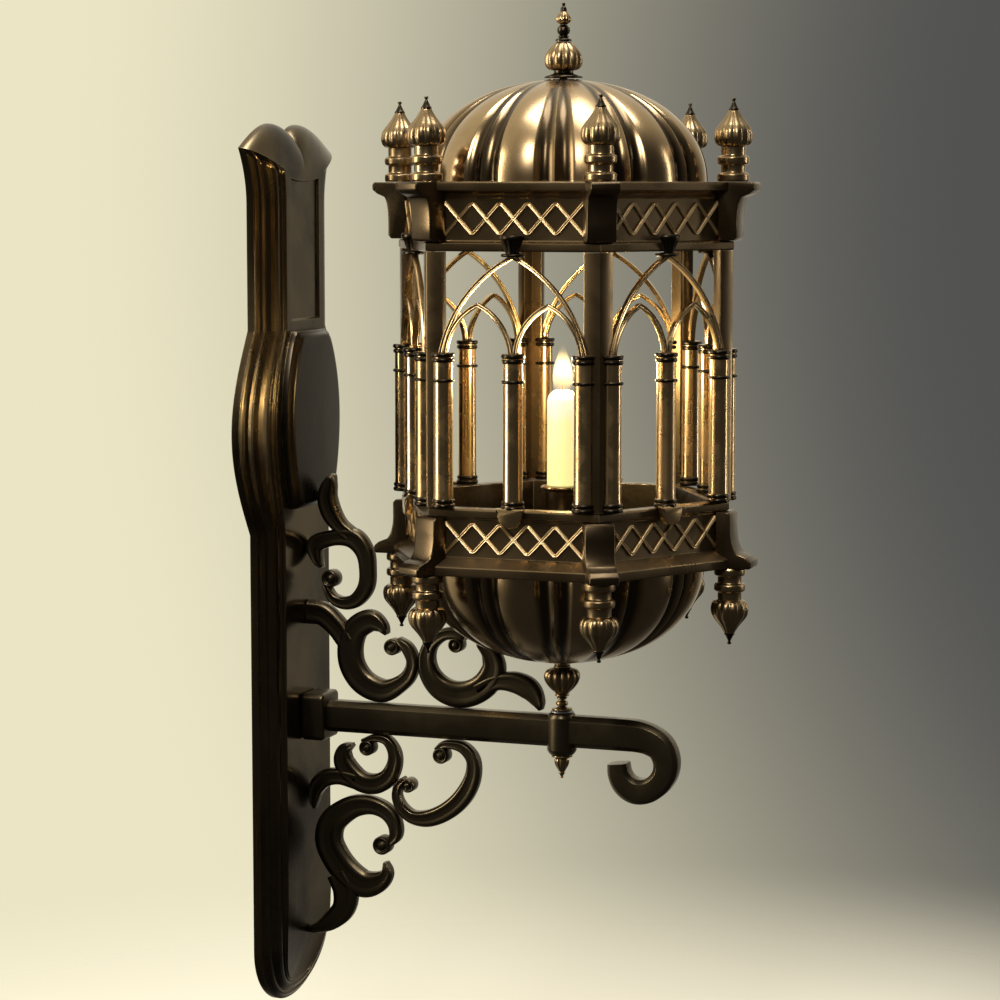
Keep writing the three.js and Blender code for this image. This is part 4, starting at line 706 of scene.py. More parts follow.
def wall_plate():
    right = plate_stations()
    left = [(-a, b, -c, *rest) for a, b, c, *rest in right[-2:0:-1]]
    loop = np.array(right + left)
    n = len(loop)
    rings = []
    for i, (share, depth) in enumerate(PLATE_MOULDING):
        turn = i / (len(PLATE_MOULDING) - 1) * math.pi / 2
        shares = lerp(share, 1 - math.cos(turn), loop[:, 5])
        depths = lerp(depth, math.sin(turn), loop[:, 5])
        x = lerp(loop[:, 0], loop[:, 2], shares)
        z = lerp(loop[:, 1], loop[:, 3], shares)
        rings.append(np.column_stack([x, -loop[:, 4] * depths, z]))
    points, faces = bands(rings)
    top = len(points) - n
    for k in range(FOOT_STEPS):
        ring = [k, k + 1, n - k - 1] if k == 0 else [k, k + 1, n - k - 1, n - k]
        faces.append([top + i for i in ring])
    front = [(x, z) for _, _, x, z, _, _ in loop[FOOT_STEPS:n - FOOT_STEPS + 1]]
    panel = plate_panel()
    hollows = [[(-HOLLOW_HALF, foot), (HOLLOW_HALF, foot), (HOLLOW_HALF, head), (-HOLLOW_HALF, head)]
               for foot, head in HOLLOWS]
    back = [(x, z) for x, z, *_ in loop]
    return joined((points, faces), filled(front, [panel], PLATE_DEPTH), filled(back, hollows, 0.0),
                  sunk(panel, (PLATE_DEPTH, PLATE_DEPTH - PANEL_SINK), 1.2),
                  *[sunk(hollow, (0.0, HOLLOW_DEPTH)) for hollow in hollows])


def face_depth(up):
    """How far the front face lies from the wall at a height; the foot rolls back."""
    drop = np.clip((up - PLATE_BOTTOM - FACE_MARGIN) / FACE_FOOT_ROUND, 0, 1)
    return lerp(FOOT_DEPTH, PLATE_DEPTH, 1 - (1 - drop) ** 2)


def shield_outline(inset):
    foot, head = SHIELD_FOOT + inset, SHIELD_HEAD - inset
    side = []
    for t in np.linspace(0, 1, 33):
        swell = max(math.sin(math.pi * t), 0.0) ** 0.7
        half = lerp(lerp(SHIELD_FOOT_HALF, SHIELD_HEAD_HALF, t), SHIELD_HALF, swell) - inset
        side.append((half, lerp(foot, head, t)))
    return side + [(-x, z) for x, z in reversed(side)]


def plate_shield():
    """A raised panel: an upright edge, a broad bevel and a flat face."""
    seat = PLATE_DEPTH + SEAT_GAP
    full_rise = 9
    levels = [(0, 0), (0, 4.4), (0.3, 4.9), (0.9, 5.2), (2.6, 7.6), (3.3, 8.4), (4.2, 8.9),
              (5.6, full_rise)]
    rings = []
    for inset, rise in levels:
        outline = np.array(shield_outline(inset))
        depth = seat + rise / full_rise * (SHIELD_FACE - seat)
        rings.append(np.column_stack([outline[:, 0], np.full(len(outline), -depth), outline[:, 1]]))
    return capped(rings)


# Arm, its socket and the scrolls, drawn in the plane of the arm
ARM_HALF_HEIGHT, ARM_HALF_WIDTH, ARM_CHAMFER = 12.2, 8.0, 4.0
SOCKET_FACE = -span("arm_socket")[0][1]
SCROLL_HALF = 6.0
SOCKET_GRIP = 11.0       # depth of the arm's root in its socket
BARREL_FOOT, BARREL_HEAD = -18.7, 14.2


def arm_socket():
    half_width, half_height = 16.5, 18.4
    block = rounded([(-half_width, -half_height), (half_width, -half_height), (half_width, half_height),
                     (-half_width, half_height)], 4.5, 5, closed=True)
    return on_side(slab(block, PLATE_DEPTH + SEAT_GAP, SOCKET_FACE, 2.6, 4))


def bar_section(half_height, half_width, chamfer):
    h, w, c = half_height, half_width, chamfer
    corners = [(h, c - w), (h, w - c), (h - c, w), (c - h, w), (-h, w - c), (-h, c - w), (c - h, -w),
               (h - c, -w)]
    return rounded(corners, 0.7, 2, closed=True)


# The hook as [out from the lantern's axis, up, half height]
HOOK = [(51, 0, 12.2), (60, -0.4, 12), (70, -2.6, 11.4), (78.6, -7.8, 10.7), (83, -17, 9.9),
        (82.5, -27, 9.2), (77, -36, 8.9), (68.5, -41.6, 9.2), (59, -42.4, 9.6), (51, -38, 9.2),
        (46.6, -30.5, 8.4), (45.4, -22, 7.6)]


def arm():
    root = SOCKET_FACE - SOCKET_GRIP
    hook = smooth_line([(REACH + out, up, half) for out, up, half in HOOK], 6)
    straight = [(out, 0, ARM_HALF_HEIGHT) for out in np.linspace(root, REACH + HOOK[0][0] - 1, 12)]
    line = np.vstack([straight, hook])
    rings = []
    along = np.gradient(line[:, :2], axis=0)
    along /= np.linalg.norm(along, axis=1)[:, None]
    for (out, up, half), (ax, ay) in zip(line, along):
        ring = []
        for side, wide in bar_section(half, ARM_HALF_WIDTH, ARM_CHAMFER * half / ARM_HALF_HEIGHT):
            ring.append((out - ay * side, up + ax * side, wide))
        rings.append(ring)
    bar = in_arm_plane(skin(rings))
    foot, head = BARREL_FOOT, BARREL_HEAD
    side = [(0.5, foot), (9.0, foot), (11.4, foot + 3.6), (11.4, head - 3.6), (9.4, head), (0.5, head)]
    return joined(bar, shifted(lathe(rounded(side, 3.2, 5), 48), y=-REACH))


# Each scroll: above the arm or below it, its strokes as [out, up, half width], its rolled ends as
# [out, up, radius]
SCROLLS = [
    (1, [[(15.4, 90.6, 2.6), (21.2, 80.5, 4), (30.1, 76.8, 4.9), (40.5, 79.2, 5.6), (49.1, 90, 6.3),
          (50.5, 104, 6.4), (48.1, 117.6, 7.2), (39, 127.6, 8), (23, 127.6, 6.2), (6.6, 121, 6.8),
          (8.8, 109, 3.8), (12.3, 103.6, 1.2)],
         [(36.5, 130, 6.5), (27.8, 137, 6.5), (20.4, 147, 7.9), (17, 159, 7.7), (19.4, 170, 5.4),
          (22.4, 177, 1.6)]],
     [(20.2, 95.6, 6.9)]),
    (1, [[(76, 50.4, 2.6), (83.7, 43.8, 4.8), (88, 33.6, 4.9), (84.7, 22.6, 5.7), (75.7, 14.6, 6.8),
          (63.2, 9.4, 9), (47, 15, 10), (37.1, 28.6, 10.2), (35.9, 44.6, 10), (41.2, 57.4, 9.5),
          (52.9, 63.8, 8.8), (62.1, 60.2, 5.4), (66.7, 54, 1.6)],
         [(0.6, 68.5, 9.4), (11.7, 67.6, 9.2), (23.5, 59, 8.6), (33.5, 46, 8)]],
     [(71.6, 44.6, 6.4)]),
    (1, [[(131.5, 54, 2.6), (123.7, 57.6, 4.6), (113.2, 56, 4.8), (103.2, 48, 5.5), (99.7, 37.5, 6.6),
          (101.7, 25.6, 8), (109.7, 15.6, 9.3), (122.1, 10.4, 10), (136.1, 12, 10.2), (148.1, 20, 10),
          (154.5, 32.6, 9.2), (151.3, 44, 7), (144.1, 50.6, 3.6), (141.1, 53.6, 1.2)],
         [(142.5, 13.6, 8), (156.5, 21.6, 6.4), (171.7, 22.2, 8), (183.5, 17.4, 8.2), (190.5, 8.4, 5),
          (192.7, 2.2, 1.4)]],
     [(124.4, 49, 5.9)]),
    (-1, [[(46.2, -6.6, 2.4), (56.1, -3, 3), (66.2, -4.4, 3.9), (72.1, -12.6, 5), (72.6, -22, 5.8),
           (67.2, -33.4, 7), (57.2, -39.4, 7.8), (45.2, -38.8, 8), (35.5, -32, 8.4), (29.4, -22.6, 7.8),
           (30.8, -14, 5.4), (37.5, -9.8, 1.6)],
          [(40.5, -38, 7), (25.4, -35.6, 6.4), (12.8, -38.6, 6.8), (5.7, -47.4, 5.8), (4.5, -56, 3.8),
           (4.7, -62.4, 1.2)]],
     [(50.3, -10.9, 6.2)]),
    (-1, [[(68.2, -86, 3), (73.2, -79, 5), (72.6, -70, 5.8), (66.2, -61.5, 6.4), (55.2, -57, 7),
           (42.2, -57.5, 8.4), (31, -62.5, 9.5), (19.1, -73.5, 10.6), (16.5, -87, 11.2), (22, -100, 11.4),
           (33.2, -113, 11.4), (46.2, -120, 10.7), (58.2, -117.5, 8.4), (65.7, -110, 5), (64.7, -101, 1.6)],
          [(23.8, -113, 9), (30.4, -127, 10), (28.6, -141, 9), (17.9, -152, 7.4), (6.3, -158.4, 4),
           (-3.5, -160.4, 1.9)]],
     [(62.5, -87.5, 7.3)]),
    (-1, [[(107.7, -9, 2.2), (113.2, -4.9, 3), (121.2, -4.2, 3.6), (130.2, -6.5, 4.6), (137.2, -14.5, 5.2),
           (137.7, -26, 6), (132.7, -39, 7), (123.7, -50.5, 7.2), (111.2, -59.5, 7), (98.2, -64, 6.4),
           (86.7, -63.2, 5.2), (78.2, -56.5, 4.6), (74.4, -47.5, 3.8), (76.2, -38.5, 3.2),
           (81.2, -34, 2.4)]],
     [(111.9, -12.9, 6.4), (84.5, -38.4, 5.6)]),
]


def scroll_section():
    """A bar whose broad faces are slightly hollow between soft bevels, one unit to each side."""
    return rounded([(1, -0.5), (1, 0.5), (0.68, 1), (0.25, 0.86), (-0.25, 0.86), (-0.68, 1), (-1, 0.5),
                    (-1, -0.5), (-0.68, -1), (-0.25, -0.86), (0.25, -0.86), (0.68, -1)], 0.22, 2,
                   closed=True)


def scroll_eye(radius):
    """The rolled end: a collar, a dark ring and a raised ball on both faces."""
    half = SCROLL_HALF + 0.9
    side = [(0.2, half + 0.1), (radius * 0.3, half - 0.2), (radius * 0.46, half - 1.4),
            (radius * 0.52, half - 2.0), (radius * 0.6, half - 1.7), (radius * 0.74, half - 0.4),
            (radius * 0.88, half - 0.4), (radius, half - 2.2)]
    side = rounded(side, 0.5, 2)
    return lathe(side + [(r, -z) for r, z in reversed(side)], 36)


def scroll(side, strokes, rolls):
    front, level = PLATE_DEPTH + SEAT_GAP, side * (ARM_HALF_HEIGHT + SEAT_GAP)
    section = scroll_section()
    shapes = []
    for stroke in strokes:
        line = smooth_line([(front + out, level + up, half) for out, up, half in stroke], 7)
        sizes = [(half, SCROLL_HALF * min(1.0, 0.45 + half / 6)) for half in line[:, 2]]
        shapes.append(in_arm_plane(strip(line, section, sizes)))
    for out, up, radius in rolls:
        points, faces = scroll_eye(radius)
        eye = (np.column_stack([points[:, 2], points[:, 0], points[:, 1]]), faces)
        shapes.append(shifted(eye, y=-(front + out), z=level + up))
    points, faces = joined(*shapes)
    points[:, 1] = np.minimum(points[:, 1], -face_depth(points[:, 2]) - SEAT_GAP)
    if side > 0:
        points[:, 2] = np.maximum(points[:, 2], level)
    else:
        points[:, 2] = np.minimum(points[:, 2], level)
    return points, faces


# Swivel, stem and bowl
THREAD_PITCH = 1.2
KNOP_RADIUS = 14.0
COLLAR = 3.2             # height of the collar on the knop


def flutes(count, depth, low, high):
    """Round lobes with narrow grooves between them, only between two heights."""

    def draw(turns, r, z):
        fade = min(1.0, max(0.0, (z - low) / 1.5)) * min(1.0, max(0.0, (high - z) / 1.5))
        return 1 - depth * fade * (1 - np.abs(np.cos(turns * count / 2)))

    return draw


def stem_bush():
    seat = BARREL_HEAD + SEAT_GAP
    return lathe([(5.3, BARREL_FOOT), (7.6, BARREL_FOOT), (7.6, seat), (9.0, seat), (9.0, seat + 0.9),
                  (8.7, seat + 1.2), (5.3, seat + 1.2), (5.3, BARREL_FOOT)], 48)


def stem():
    top = span("stem")[1][2]
    lower = [(3.0, NUT_TOP - 7.4)]
    for i in range(6):
        z = NUT_TOP - 7 + i * THREAD_PITCH
        lower += [(3.0, z), (2.6, z + THREAD_PITCH / 2)]
    beads = [(3.0, NUT_TOP + 0.3), (5.0, NUT_TOP + 0.3), (5.0, 16.1), (8.0, 16.1), (8.0, 17.1),
             (6.4, 17.7), (2.8, 18.2), (2.8, 18.8), (4.4, 19.6), (4.8, 20.8), (4.4, 22.2), (2.9, 23.1),
             (2.7, 23.7), (2.7, 24.2), (4.0, 24.6), (4.2, 25.0), (4.0, 25.4), (3.0, 25.9), (3.0, 26.4),
             (5.2, 26.7), (5.7, 27.2), (5.7, 27.7), (5.2, 28.2), (4.8, KNOP_FOOT - 0.3),
             (3.5, KNOP_FOOT - 0.3), (3.5, top - 0.4), (3.1, top)]
    return lathe(rounded(lower + beads, 0.28, 2), 40)


def knop():
    top = KNOP_TOP - COLLAR
    rise = top - KNOP_FOOT
    onion = [(0.40, 0), (0.47, 0.06), (0.62, 0.16), (0.80, 0.31), (0.93, 0.46), (1.0, 0.62),
             (0.985, 0.76), (0.90, 0.87), (0.74, 0.95), (0.5, 1.0)]
    line = smooth_line([(KNOP_RADIUS * r, KNOP_FOOT + rise * up) for r, up in onion], 4)
    collar = [(6.0, 0), (6.6, 0.5), (6.6, 1.3), (5.8, 1.8), (5.8, 2.2), (6.4, 2.6), (6.4, COLLAR)]
    draw = flutes(12, 0.1, KNOP_FOOT + 1, top - 0.4)
    return lathe([tuple(p) for p in line] + raised(collar, top), 144, draw)


def stem_washer():
    low, high = span("stem_washer")
    return lathe(rounded(hoop(5.4, 8.2, low[2], high[2]), 0.25, 2), 40)


def end_nut():
    drop = NUT_TOP - NUT_TIP
    onion = [(4.6, 0), (5.5, 0.06), (5.9, 0.16), (5.75, 0.28), (4.9, 0.42), (3.7, 0.54), (2.9, 0.62),
             (2.5, 0.67), (2.3, 0.69), (2.5, 0.72), (2.3, 0.77), (1.6, 0.84), (1.0, 0.9), (1.0, 0.915),
             (1.5, 0.93), (1.6, 0.955), (1.2, 0.985), (0.4, 1)]
    line = [(r, NUT_TOP - drop * down) for r, down in onion]
    return lathe(line, 96, flutes(10, 0.1, NUT_TOP - drop * 0.6, NUT_TOP - 0.3))


OVAL_FULLNESS = 2.06     # 2 is a true oval, more is fuller
LOBE_WALL = 2.8
FLUTE_DEPTH = 0.056      # share of the radius
CROWN_RADIUS = 12.0
BOWL_NECK_RADIUS = 98.0


def lobe_depth(turns):
    """0 on the back of a wide lobe, 1 in the two hollow flutes beside the edge between two lobes."""
    period = 2 * math.pi / LOBES
    from_edge = np.abs((turns % period) / period - 0.5)
    along = np.clip(from_edge / LOBE_START, 0, 1)
    in_flute = EDGE_SHARE + (1 - EDGE_SHARE) * np.sin(math.pi * along) ** 0.8
    on_lobe = EDGE_SHARE * ((0.5 - from_edge) / (0.5 - LOBE_START)) ** 2
    return np.where(from_edge < LOBE_START, in_flute, on_lobe)


def oval(radius, height, steps, crown):
    """A quarter of a full oval from the rim up to the crown."""
    line = []
    for t in np.linspace(0, math.pi / 2, steps):
        across = max(math.cos(t), 0.0) ** (2 / OVAL_FULLNESS)
        line.append((max(radius * across, crown), height * math.sin(t) ** (2 / OVAL_FULLNESS)))
    return line


def lobed_shell(radius, height):
    """The rings of a gadrooned shell whose rim lies at height 0 and whose crown stands above it."""
    turns = turns_of(40 * LOBES)
    inside = oval(radius * (1 - FLUTE_DEPTH) - LOBE_WALL, height - LOBE_WALL - 1, 16, CROWN_RADIUS - 3)
    rings = list(reversed(inside))
    for r, z in oval(radius, height - 0.6, 44, CROWN_RADIUS):
        near_crown = min(1.0, (height - z) / 2.5 + 0.1)
        rings.append((r * (1 - FLUTE_DEPTH * lobe_depth(turns) * near_crown), z))
    return [ring_at(turns, r, z) for r, z in rings]


def dome():
    radius = DOME_HIGH[0]
    shell = shifted(skin(lobed_shell(radius, DOME_HIGH[2] - DECK)), z=DECK)
    rebate_radius = radius * 0.95 - 0.5
    return joined(shell, lathe(hoop(rebate_radius - 3, rebate_radius, DOME_LOW[2], DECK + 0.6), 96))


def bowl():
    """The bowl hangs under the rail from a plain neck that stands inside it."""
    foot, inner = SILL_BOTTOM - SEAT_GAP, BOWL_NECK_RADIUS - 3
    shell = hung(shifted(skin(lobed_shell(BOWL_HIGH[0], foot - BOWL_LOW[2])), z=-foot))
    neck = lathe(hoop(inner, BOWL_NECK_RADIUS, foot - 1, BOWL_HIGH[2]), 96)
    flange = lathe(hoop(inner, BOWL_HIGH[0] - 7, foot - 2.7, foot), 96)
    return joined(shell, neck, flange)


# Rails: mitred mouldings round the hexagon, as [radius to a corner, height]
def hexagon(profile):
    return lathe(profile, 6)


PANEL_RADIUS = 127.3     # of the flat band that carries the lattice
SILL_FOOT, SILL_INNER, SILL_HEIGHT = 139.0, 118.0, 48.8
CORNICE_FOOT, CORNICE_EDGE, CORNICE_INNER, CORNICE_MOUTH = 132.0, 136.5, 121.4, 103.6
CORNICE_HEIGHT = 49.5


def sill_rail():
    outside = [(SILL_FOOT - 0.8, 0), (SILL_FOOT, 0.8), (SILL_FOOT, 6.2), (SILL_FOOT - 0.6, 7.0),
               (PANEL_RADIUS, 13.2), (PANEL_RADIUS, 40.6), (128.2, 41.2), (128.2, 42.2), (129.8, 42.8),
               (129.8, 47.4), (128.9, SILL_HEIGHT)]
    inside = [(SILL_INNER + 0.8, SILL_HEIGHT), (SILL_INNER, 48.0), (SILL_INNER, 0), (SILL_FOOT - 0.8, 0)]
    return hexagon(rounded(raised(outside + inside, SILL_BOTTOM), 0.6, 2))


def cornice():
    outside = [(CORNICE_FOOT - 1, 0), (CORNICE_FOOT, 1.0), (CORNICE_FOOT, 5.6), (CORNICE_FOOT - 1, 6.4),
               (128.2, 6.8), (PANEL_RADIUS, 8.0), (PANEL_RADIUS, 37.6), (128.4, 38.4), (129.0, 39.8),
               (130.6, 41.2), (133.6, 42.4), (135.4, 42.8), (CORNICE_EDGE, 43.6), (CORNICE_EDGE, 48.6),
               (CORNICE_EDGE - 0.9, CORNICE_HEIGHT)]
    inside = [(CORNICE_INNER, CORNICE_HEIGHT), (CORNICE_INNER, 0), (CORNICE_FOOT - 1, 0)]
    head = CORNICE_BOTTOM + CORNICE_HEIGHT
    deck = head - 4
    body = hexagon(rounded(raised(outside + inside, CORNICE_BOTTOM), 0.5, 2))
    turns = turns_of(96)
    edge = (CORNICE_INNER + 0.4) * COS30 / np.cos(turns % (math.pi / 3) - math.pi / 6)
    mouth = ((CORNICE_MOUTH, deck), (CORNICE_MOUTH, head), (edge, head), (edge, deck))
    return joined(body, skin([ring_at(turns, radius, level) for radius, level in mouth], closed=True))


def lattice(foot, head):
    """Two zigzag wires that cross five times on each side."""
    half = PANEL_RADIUS / 2 - 11.2
    wire = rounded([(-1.25, 0), (-1.25, 0.9), (-0.75, 1.6), (0, 0.7), (0.75, 1.6), (1.25, 0.9),
                    (1.25, 0)], 0.25, 2)
    shapes = []
    for phase in (0, 1):
        line = [(-half + i * 2 * half / 5, head if (i + phase) % 2 else foot) for i in range(6)]
        shapes.append(strip(rounded(line, 2.4, 5), wire))
    return around(on_side(joined(*shapes), PANEL_RADIUS * COS30 - 0.05), 6, 30)


# Corner brackets and finials
BRACKET_ROOT, BRACKET_NOSE, BRACKET_HALF = 122.2, 149.4, 10.9
LOWER_FACE, LOWER_HEIGHT, UPPER_HEIGHT = 133.6, 42.0, 42.5
POINT_START = 0.85       # share of a finial's height where its dark point begins


def bracket_outline(face, height):
    """From the rail out to the rolled lip and up the cove, [radius, height from the lip's end]."""
    root, nose = BRACKET_ROOT, BRACKET_NOSE
    corners = [(root, 0), (nose - 1.4, 0), (nose, 1.6), (nose, 5.6), (nose - 3.6, 8.6), (nose - 8, 10.4)]
    cove = [(face + (nose - 8.6 - face) * (1 - math.sin(t)), 10.6 + 19 * (1 - math.cos(t)))
            for t in np.linspace(0.25, math.pi / 2, 9)]
    top = [(face, height - 2.4), (face - 2.2, height), (root, height)]
    return rounded(corners, [0, 1.2, 1.6, 2.0, 3, 3], 4) + cove + rounded(top, [0, 1.4, 0], 3)


def corner_bracket(face, height, foot, upper):
    outline = bracket_outline(face, height)
    side = [(r, foot + (height - z if upper else z)) for r, z in outline]
    return in_arm_plane(slab(side, -BRACKET_HALF, BRACKET_HALF, 1.1, 3))


def finial_profile(height):
    """Two rings and necks, an onion, a dark point: [radius, height from its seat]."""
    onion = smooth_line([(9.6, 0.42), (11.9, 0.438), (13.7, 0.475), (14.4, 0.53), (14.0, 0.59),
                         (12.4, 0.65), (9.6, 0.71), (6.8, 0.77), (4.9, 0.82), (3.9, POINT_START)], 4)
    rings = [(11.0, 0), (11.6, 0.02), (11.6, 0.08), (10.8, 0.1), (8.9, 0.105), (8.9, 0.2), (10.8, 0.205),
             (11.6, 0.225), (11.6, 0.285), (10.8, 0.305), (8.9, 0.31), (8.9, 0.415)]
    return [(r, up * height) for r, up in rings], [(r, up * height) for r, up in onion]


def finial(height):
    rings, onion = finial_profile(height)
    rings = rounded(rings, 1.2, 3)
    draw = flutes(12, 0.07, onion[0][1], onion[-1][1] + 1)
    return lathe([(0.5, 0)] + rings + onion + [(0.5, onion[-1][1] + 0.02)], 144, draw)


def finial_tip(height):
    """The blackened cone, its rim and the small button."""
    low = POINT_START * height
    rise = height - low
    line = [(3.9, 0.0), (4.0, 0.08), (3.8, 0.16), (3.2, 0.22), (1.2, 0.66), (1.0, 0.72), (1.0, 0.78),
            (1.5, 0.82), (1.6, 0.9), (1.2, 1.0)]
    return lathe([(r, low + up * rise) for r, up in line], 40)


# Dome finial, as [radius, height above the dome's crown]
DOME_FINIAL_SAUCER = [(3.0, -6.0), (3.0, 0), (14.6, 0), (14.6, 0.9), (14.0, 1.7), (11.6, 2.6), (8.2, 3.4),
                      (7.5, 4.0), (7.5, 5.4)]
DOME_FINIAL_ONION = [(7.8, 5.4), (11.6, 6.6), (13.8, 9.2), (14.5, 12.8), (13.9, 16.6), (12.1, 20.0),
                     (9.4, 23.2), (7.0, 25.3), (5.2, 26.5)]
DOME_FINIAL_UPPER = [(6.1, 26.9), (6.2, 28.2), (5.6, 29.0), (3.3, 29.4), (3.2, 29.8), (4.1, 30.2),
                     (4.2, 30.9), (3.0, 31.5)]
DOME_FINIAL_BEAD = [(3.0, 31.6), (4.4, 33.0), (5.0, 35.0), (4.6, 37.2), (3.0, 38.8), (2.6, 39.2)]
DOME_FINIAL_SMALL = [(2.9, 39.4), (4.8, 40.8), (5.9, 42.6), (5.7, 44.2), (4.4, 46.4), (2.9, 48.2),
                     (2.3, 48.9)]
DOME_FINIAL_TIP = [(2.4, 49.0), (2.5, 49.6), (2.1, 51.8), (1.0, 53.0), (0.9, 53.3), (1.35, 53.8),
                   (1.4, 54.6), (0.9, 55.4)]


def dome_finial():
    foot = DOME_HIGH[2] + SEAT_GAP
    shapes = []
    for profile, count in ((DOME_FINIAL_ONION, 12), (DOME_FINIAL_SMALL, 10)):
        line = [tuple(p) for p in smooth_line(raised(profile, foot), 4)]
        shapes.append(lathe(line, 144, flutes(count, 0.09, line[0][1] + 0.5, line[-1][1] - 0.3)))
    return joined(*shapes)


def dome_finial_dark():
    foot = DOME_HIGH[2] + SEAT_GAP
    dark = (DOME_FINIAL_SAUCER, DOME_FINIAL_UPPER, DOME_FINIAL_BEAD, DOME_FINIAL_TIP)
    return joined(*[lathe(rounded(raised(profile, foot), 0.4, 3), 64) for profile in dark])


# Arcades: three columns, moulded arches, a cup at the apex and a corbel below the middle column
COLUMN_PLANE, COLUMN_OFFSET, COLUMN_HEIGHT = 112.5, 53.25, 112.2
SHAFT, RING, BASE_RING, MID_RING, NECK = 7.1, 8.5, 3.4, 2.4, 12.0
SPRING = COLUMN_FOOT + COLUMN_HEIGHT
BIG_RISE, BIG_RADIUS, SMALL_RISE, SMALL_RADIUS, SPRING_OFFSET = 69.0, 101.0, 34.5, 42.3, 1.7
ARCH_STEPS = 18
CUP_DISC = 2.2


def column_shaft():
    mid = COLUMN_HEIGHT - 2 * BASE_RING - NECK
    return lathe([(SHAFT + 0.2, 0), (SHAFT + 0.2, 2 * BASE_RING + 0.6), (SHAFT, 2 * BASE_RING + 2),
                  (SHAFT - 0.15, mid - 3), (SHAFT - 0.15, COLUMN_HEIGHT)], 48)


def ring(radius, low, tall):
    bore = SHAFT - 1
    return lathe(rounded([(bore, low), (radius - 0.6, low), (radius, low + tall * 0.3),
                          (radius, low + tall * 0.7), (radius - 0.6, low + tall), (bore, low + tall),
                          (bore, low)], 0.5, 3), 48)


def column_rings():
    """Two rings at the foot, two at the head and a thin one below the neck."""
    mid = COLUMN_HEIGHT - 2 * BASE_RING - NECK - MID_RING
    tall = BASE_RING - 0.25
    rows = [(RING, 0, tall), (RING - 0.3, BASE_RING, tall), (RING - 0.1, mid, MID_RING),
            (RING - 0.3, COLUMN_HEIGHT - 2 * BASE_RING, tall), (RING, COLUMN_HEIGHT - tall, tall)]
    return joined(*[ring(*row) for row in rows])


def arch_leg(spring, apex, radius):
    """One curved leg of an arch, with two beads along it."""
    run, rise = apex[0] - spring[0], apex[1] - spring[1]
    chord = math.hypot(run, rise)
    lean = math.copysign(1, -run)
    reach = math.sqrt(radius ** 2 - (chord / 2) ** 2)
    centre = ((spring[0] + apex[0]) / 2 - lean * reach * rise / chord,
              (spring[1] + apex[1]) / 2 + lean * reach * run / chord)
    start = math.atan2(spring[1] - centre[1], spring[0] - centre[0])
    end = math.atan2(apex[1] - centre[1], apex[0] - centre[0])
    sweep = math.atan2(math.sin(end - start), math.cos(end - start))
    turns = [start + sweep * k / ARCH_STEPS for k in range(ARCH_STEPS + 1)]
    line = [(centre[0] + radius * math.cos(turn), centre[1] + radius * math.sin(turn)) for turn in turns]
    half = [(1.6, 1.2), (1.5, 1.9), (1.0, 2.3), (0.45, 2.0), (0.15, 1.5)]
    front = half + [(-x, y) for x, y in reversed(half)]
    moulding = rounded(front + [(-x, -y) for x, y in front], 0.2, 2, closed=True)
    return strip(line, moulding)


def arches():
    outer, inner = COLUMN_OFFSET + SPRING_OFFSET, COLUMN_OFFSET - SPRING_OFFSET
    base = SPRING - 1
    big = (0, SPRING + BIG_RISE)
    shapes = [arch_leg((-outer, base), big, BIG_RADIUS), arch_leg((outer, base), big, BIG_RADIUS)]
    for left, right in ((-inner, -SPRING_OFFSET), (SPRING_OFFSET, inner)):
        apex = ((left + right) / 2, SPRING + SMALL_RISE)
        shapes += [arch_leg((left, base), apex, SMALL_RADIUS), arch_leg((right, base), apex, SMALL_RADIUS)]
    return on_side(joined(*shapes), COLUMN_PLANE)


def cup_disc():
    side = [(0.5, 0), (8.1, 0), (8.7, 0.7), (8.7, 1.5), (8.1, CUP_DISC), (0.5, CUP_DISC)]
    return lathe(rounded(raised(side, SPRING + BIG_RISE), 0.4, 2), 48)


def cup():
    """The fluted cup over the apex. It stands in front of the rail, so its back is flat."""
    foot, rail_face = SPRING + BIG_RISE + CUP_DISC, CORNICE_FOOT * COS30 + SEAT_GAP - COLUMN_PLANE
    side = raised([(0.5, 0), (5.2, 0), (5.4, 1.0), (6.9, 5.6), (8.6, 9.6), (9.4, 10.8), (9.4, 12.2),
                   (8.6, 13.6), (0.5, 13.8)], foot)
    points, faces = lathe(rounded(side, 0.5, 2), 96, flutes(10, 0.12, foot + 0.2, foot + 10.6))
    points[:, 1] = np.where(points[:, 2] > CORNICE_BOTTOM - 0.6, np.minimum(points[:, 1], -rail_face),
                            points[:, 1])
    return points, faces


def corbel():
    drop = [(10.4, 0), (10.4, -1.2), (9.4, -2.8), (9.2, -5.6), (7.8, -9.6), (5.0, -13.2), (0, -14.2)]
    side = raised(drop, COLUMN_FOOT + 1.7)
    outline = rounded(side, 0.8, 3) + rounded([(-x, z) for x, z in reversed(side[:-1])], 0.8, 3)
    return on_side(slab(outline, 0, 5.6, 1.0, 3), 115.2)


def at_columns(shape):
    places = (-COLUMN_OFFSET, 0, COLUMN_OFFSET)
    return joined(*[shifted(shape, x, -COLUMN_PLANE, COLUMN_FOOT) for x in places])


def arcade():
    return joined(at_columns(column_shaft()), arches(), corbel())


# The column rings and the cup take the blackened finish, which paints the shade that lies on and between
# the brass rings.
def arcade_dark():
    return joined(at_columns(column_rings()), shifted(joined(cup_disc(), cup()), y=-COLUMN_PLANE))


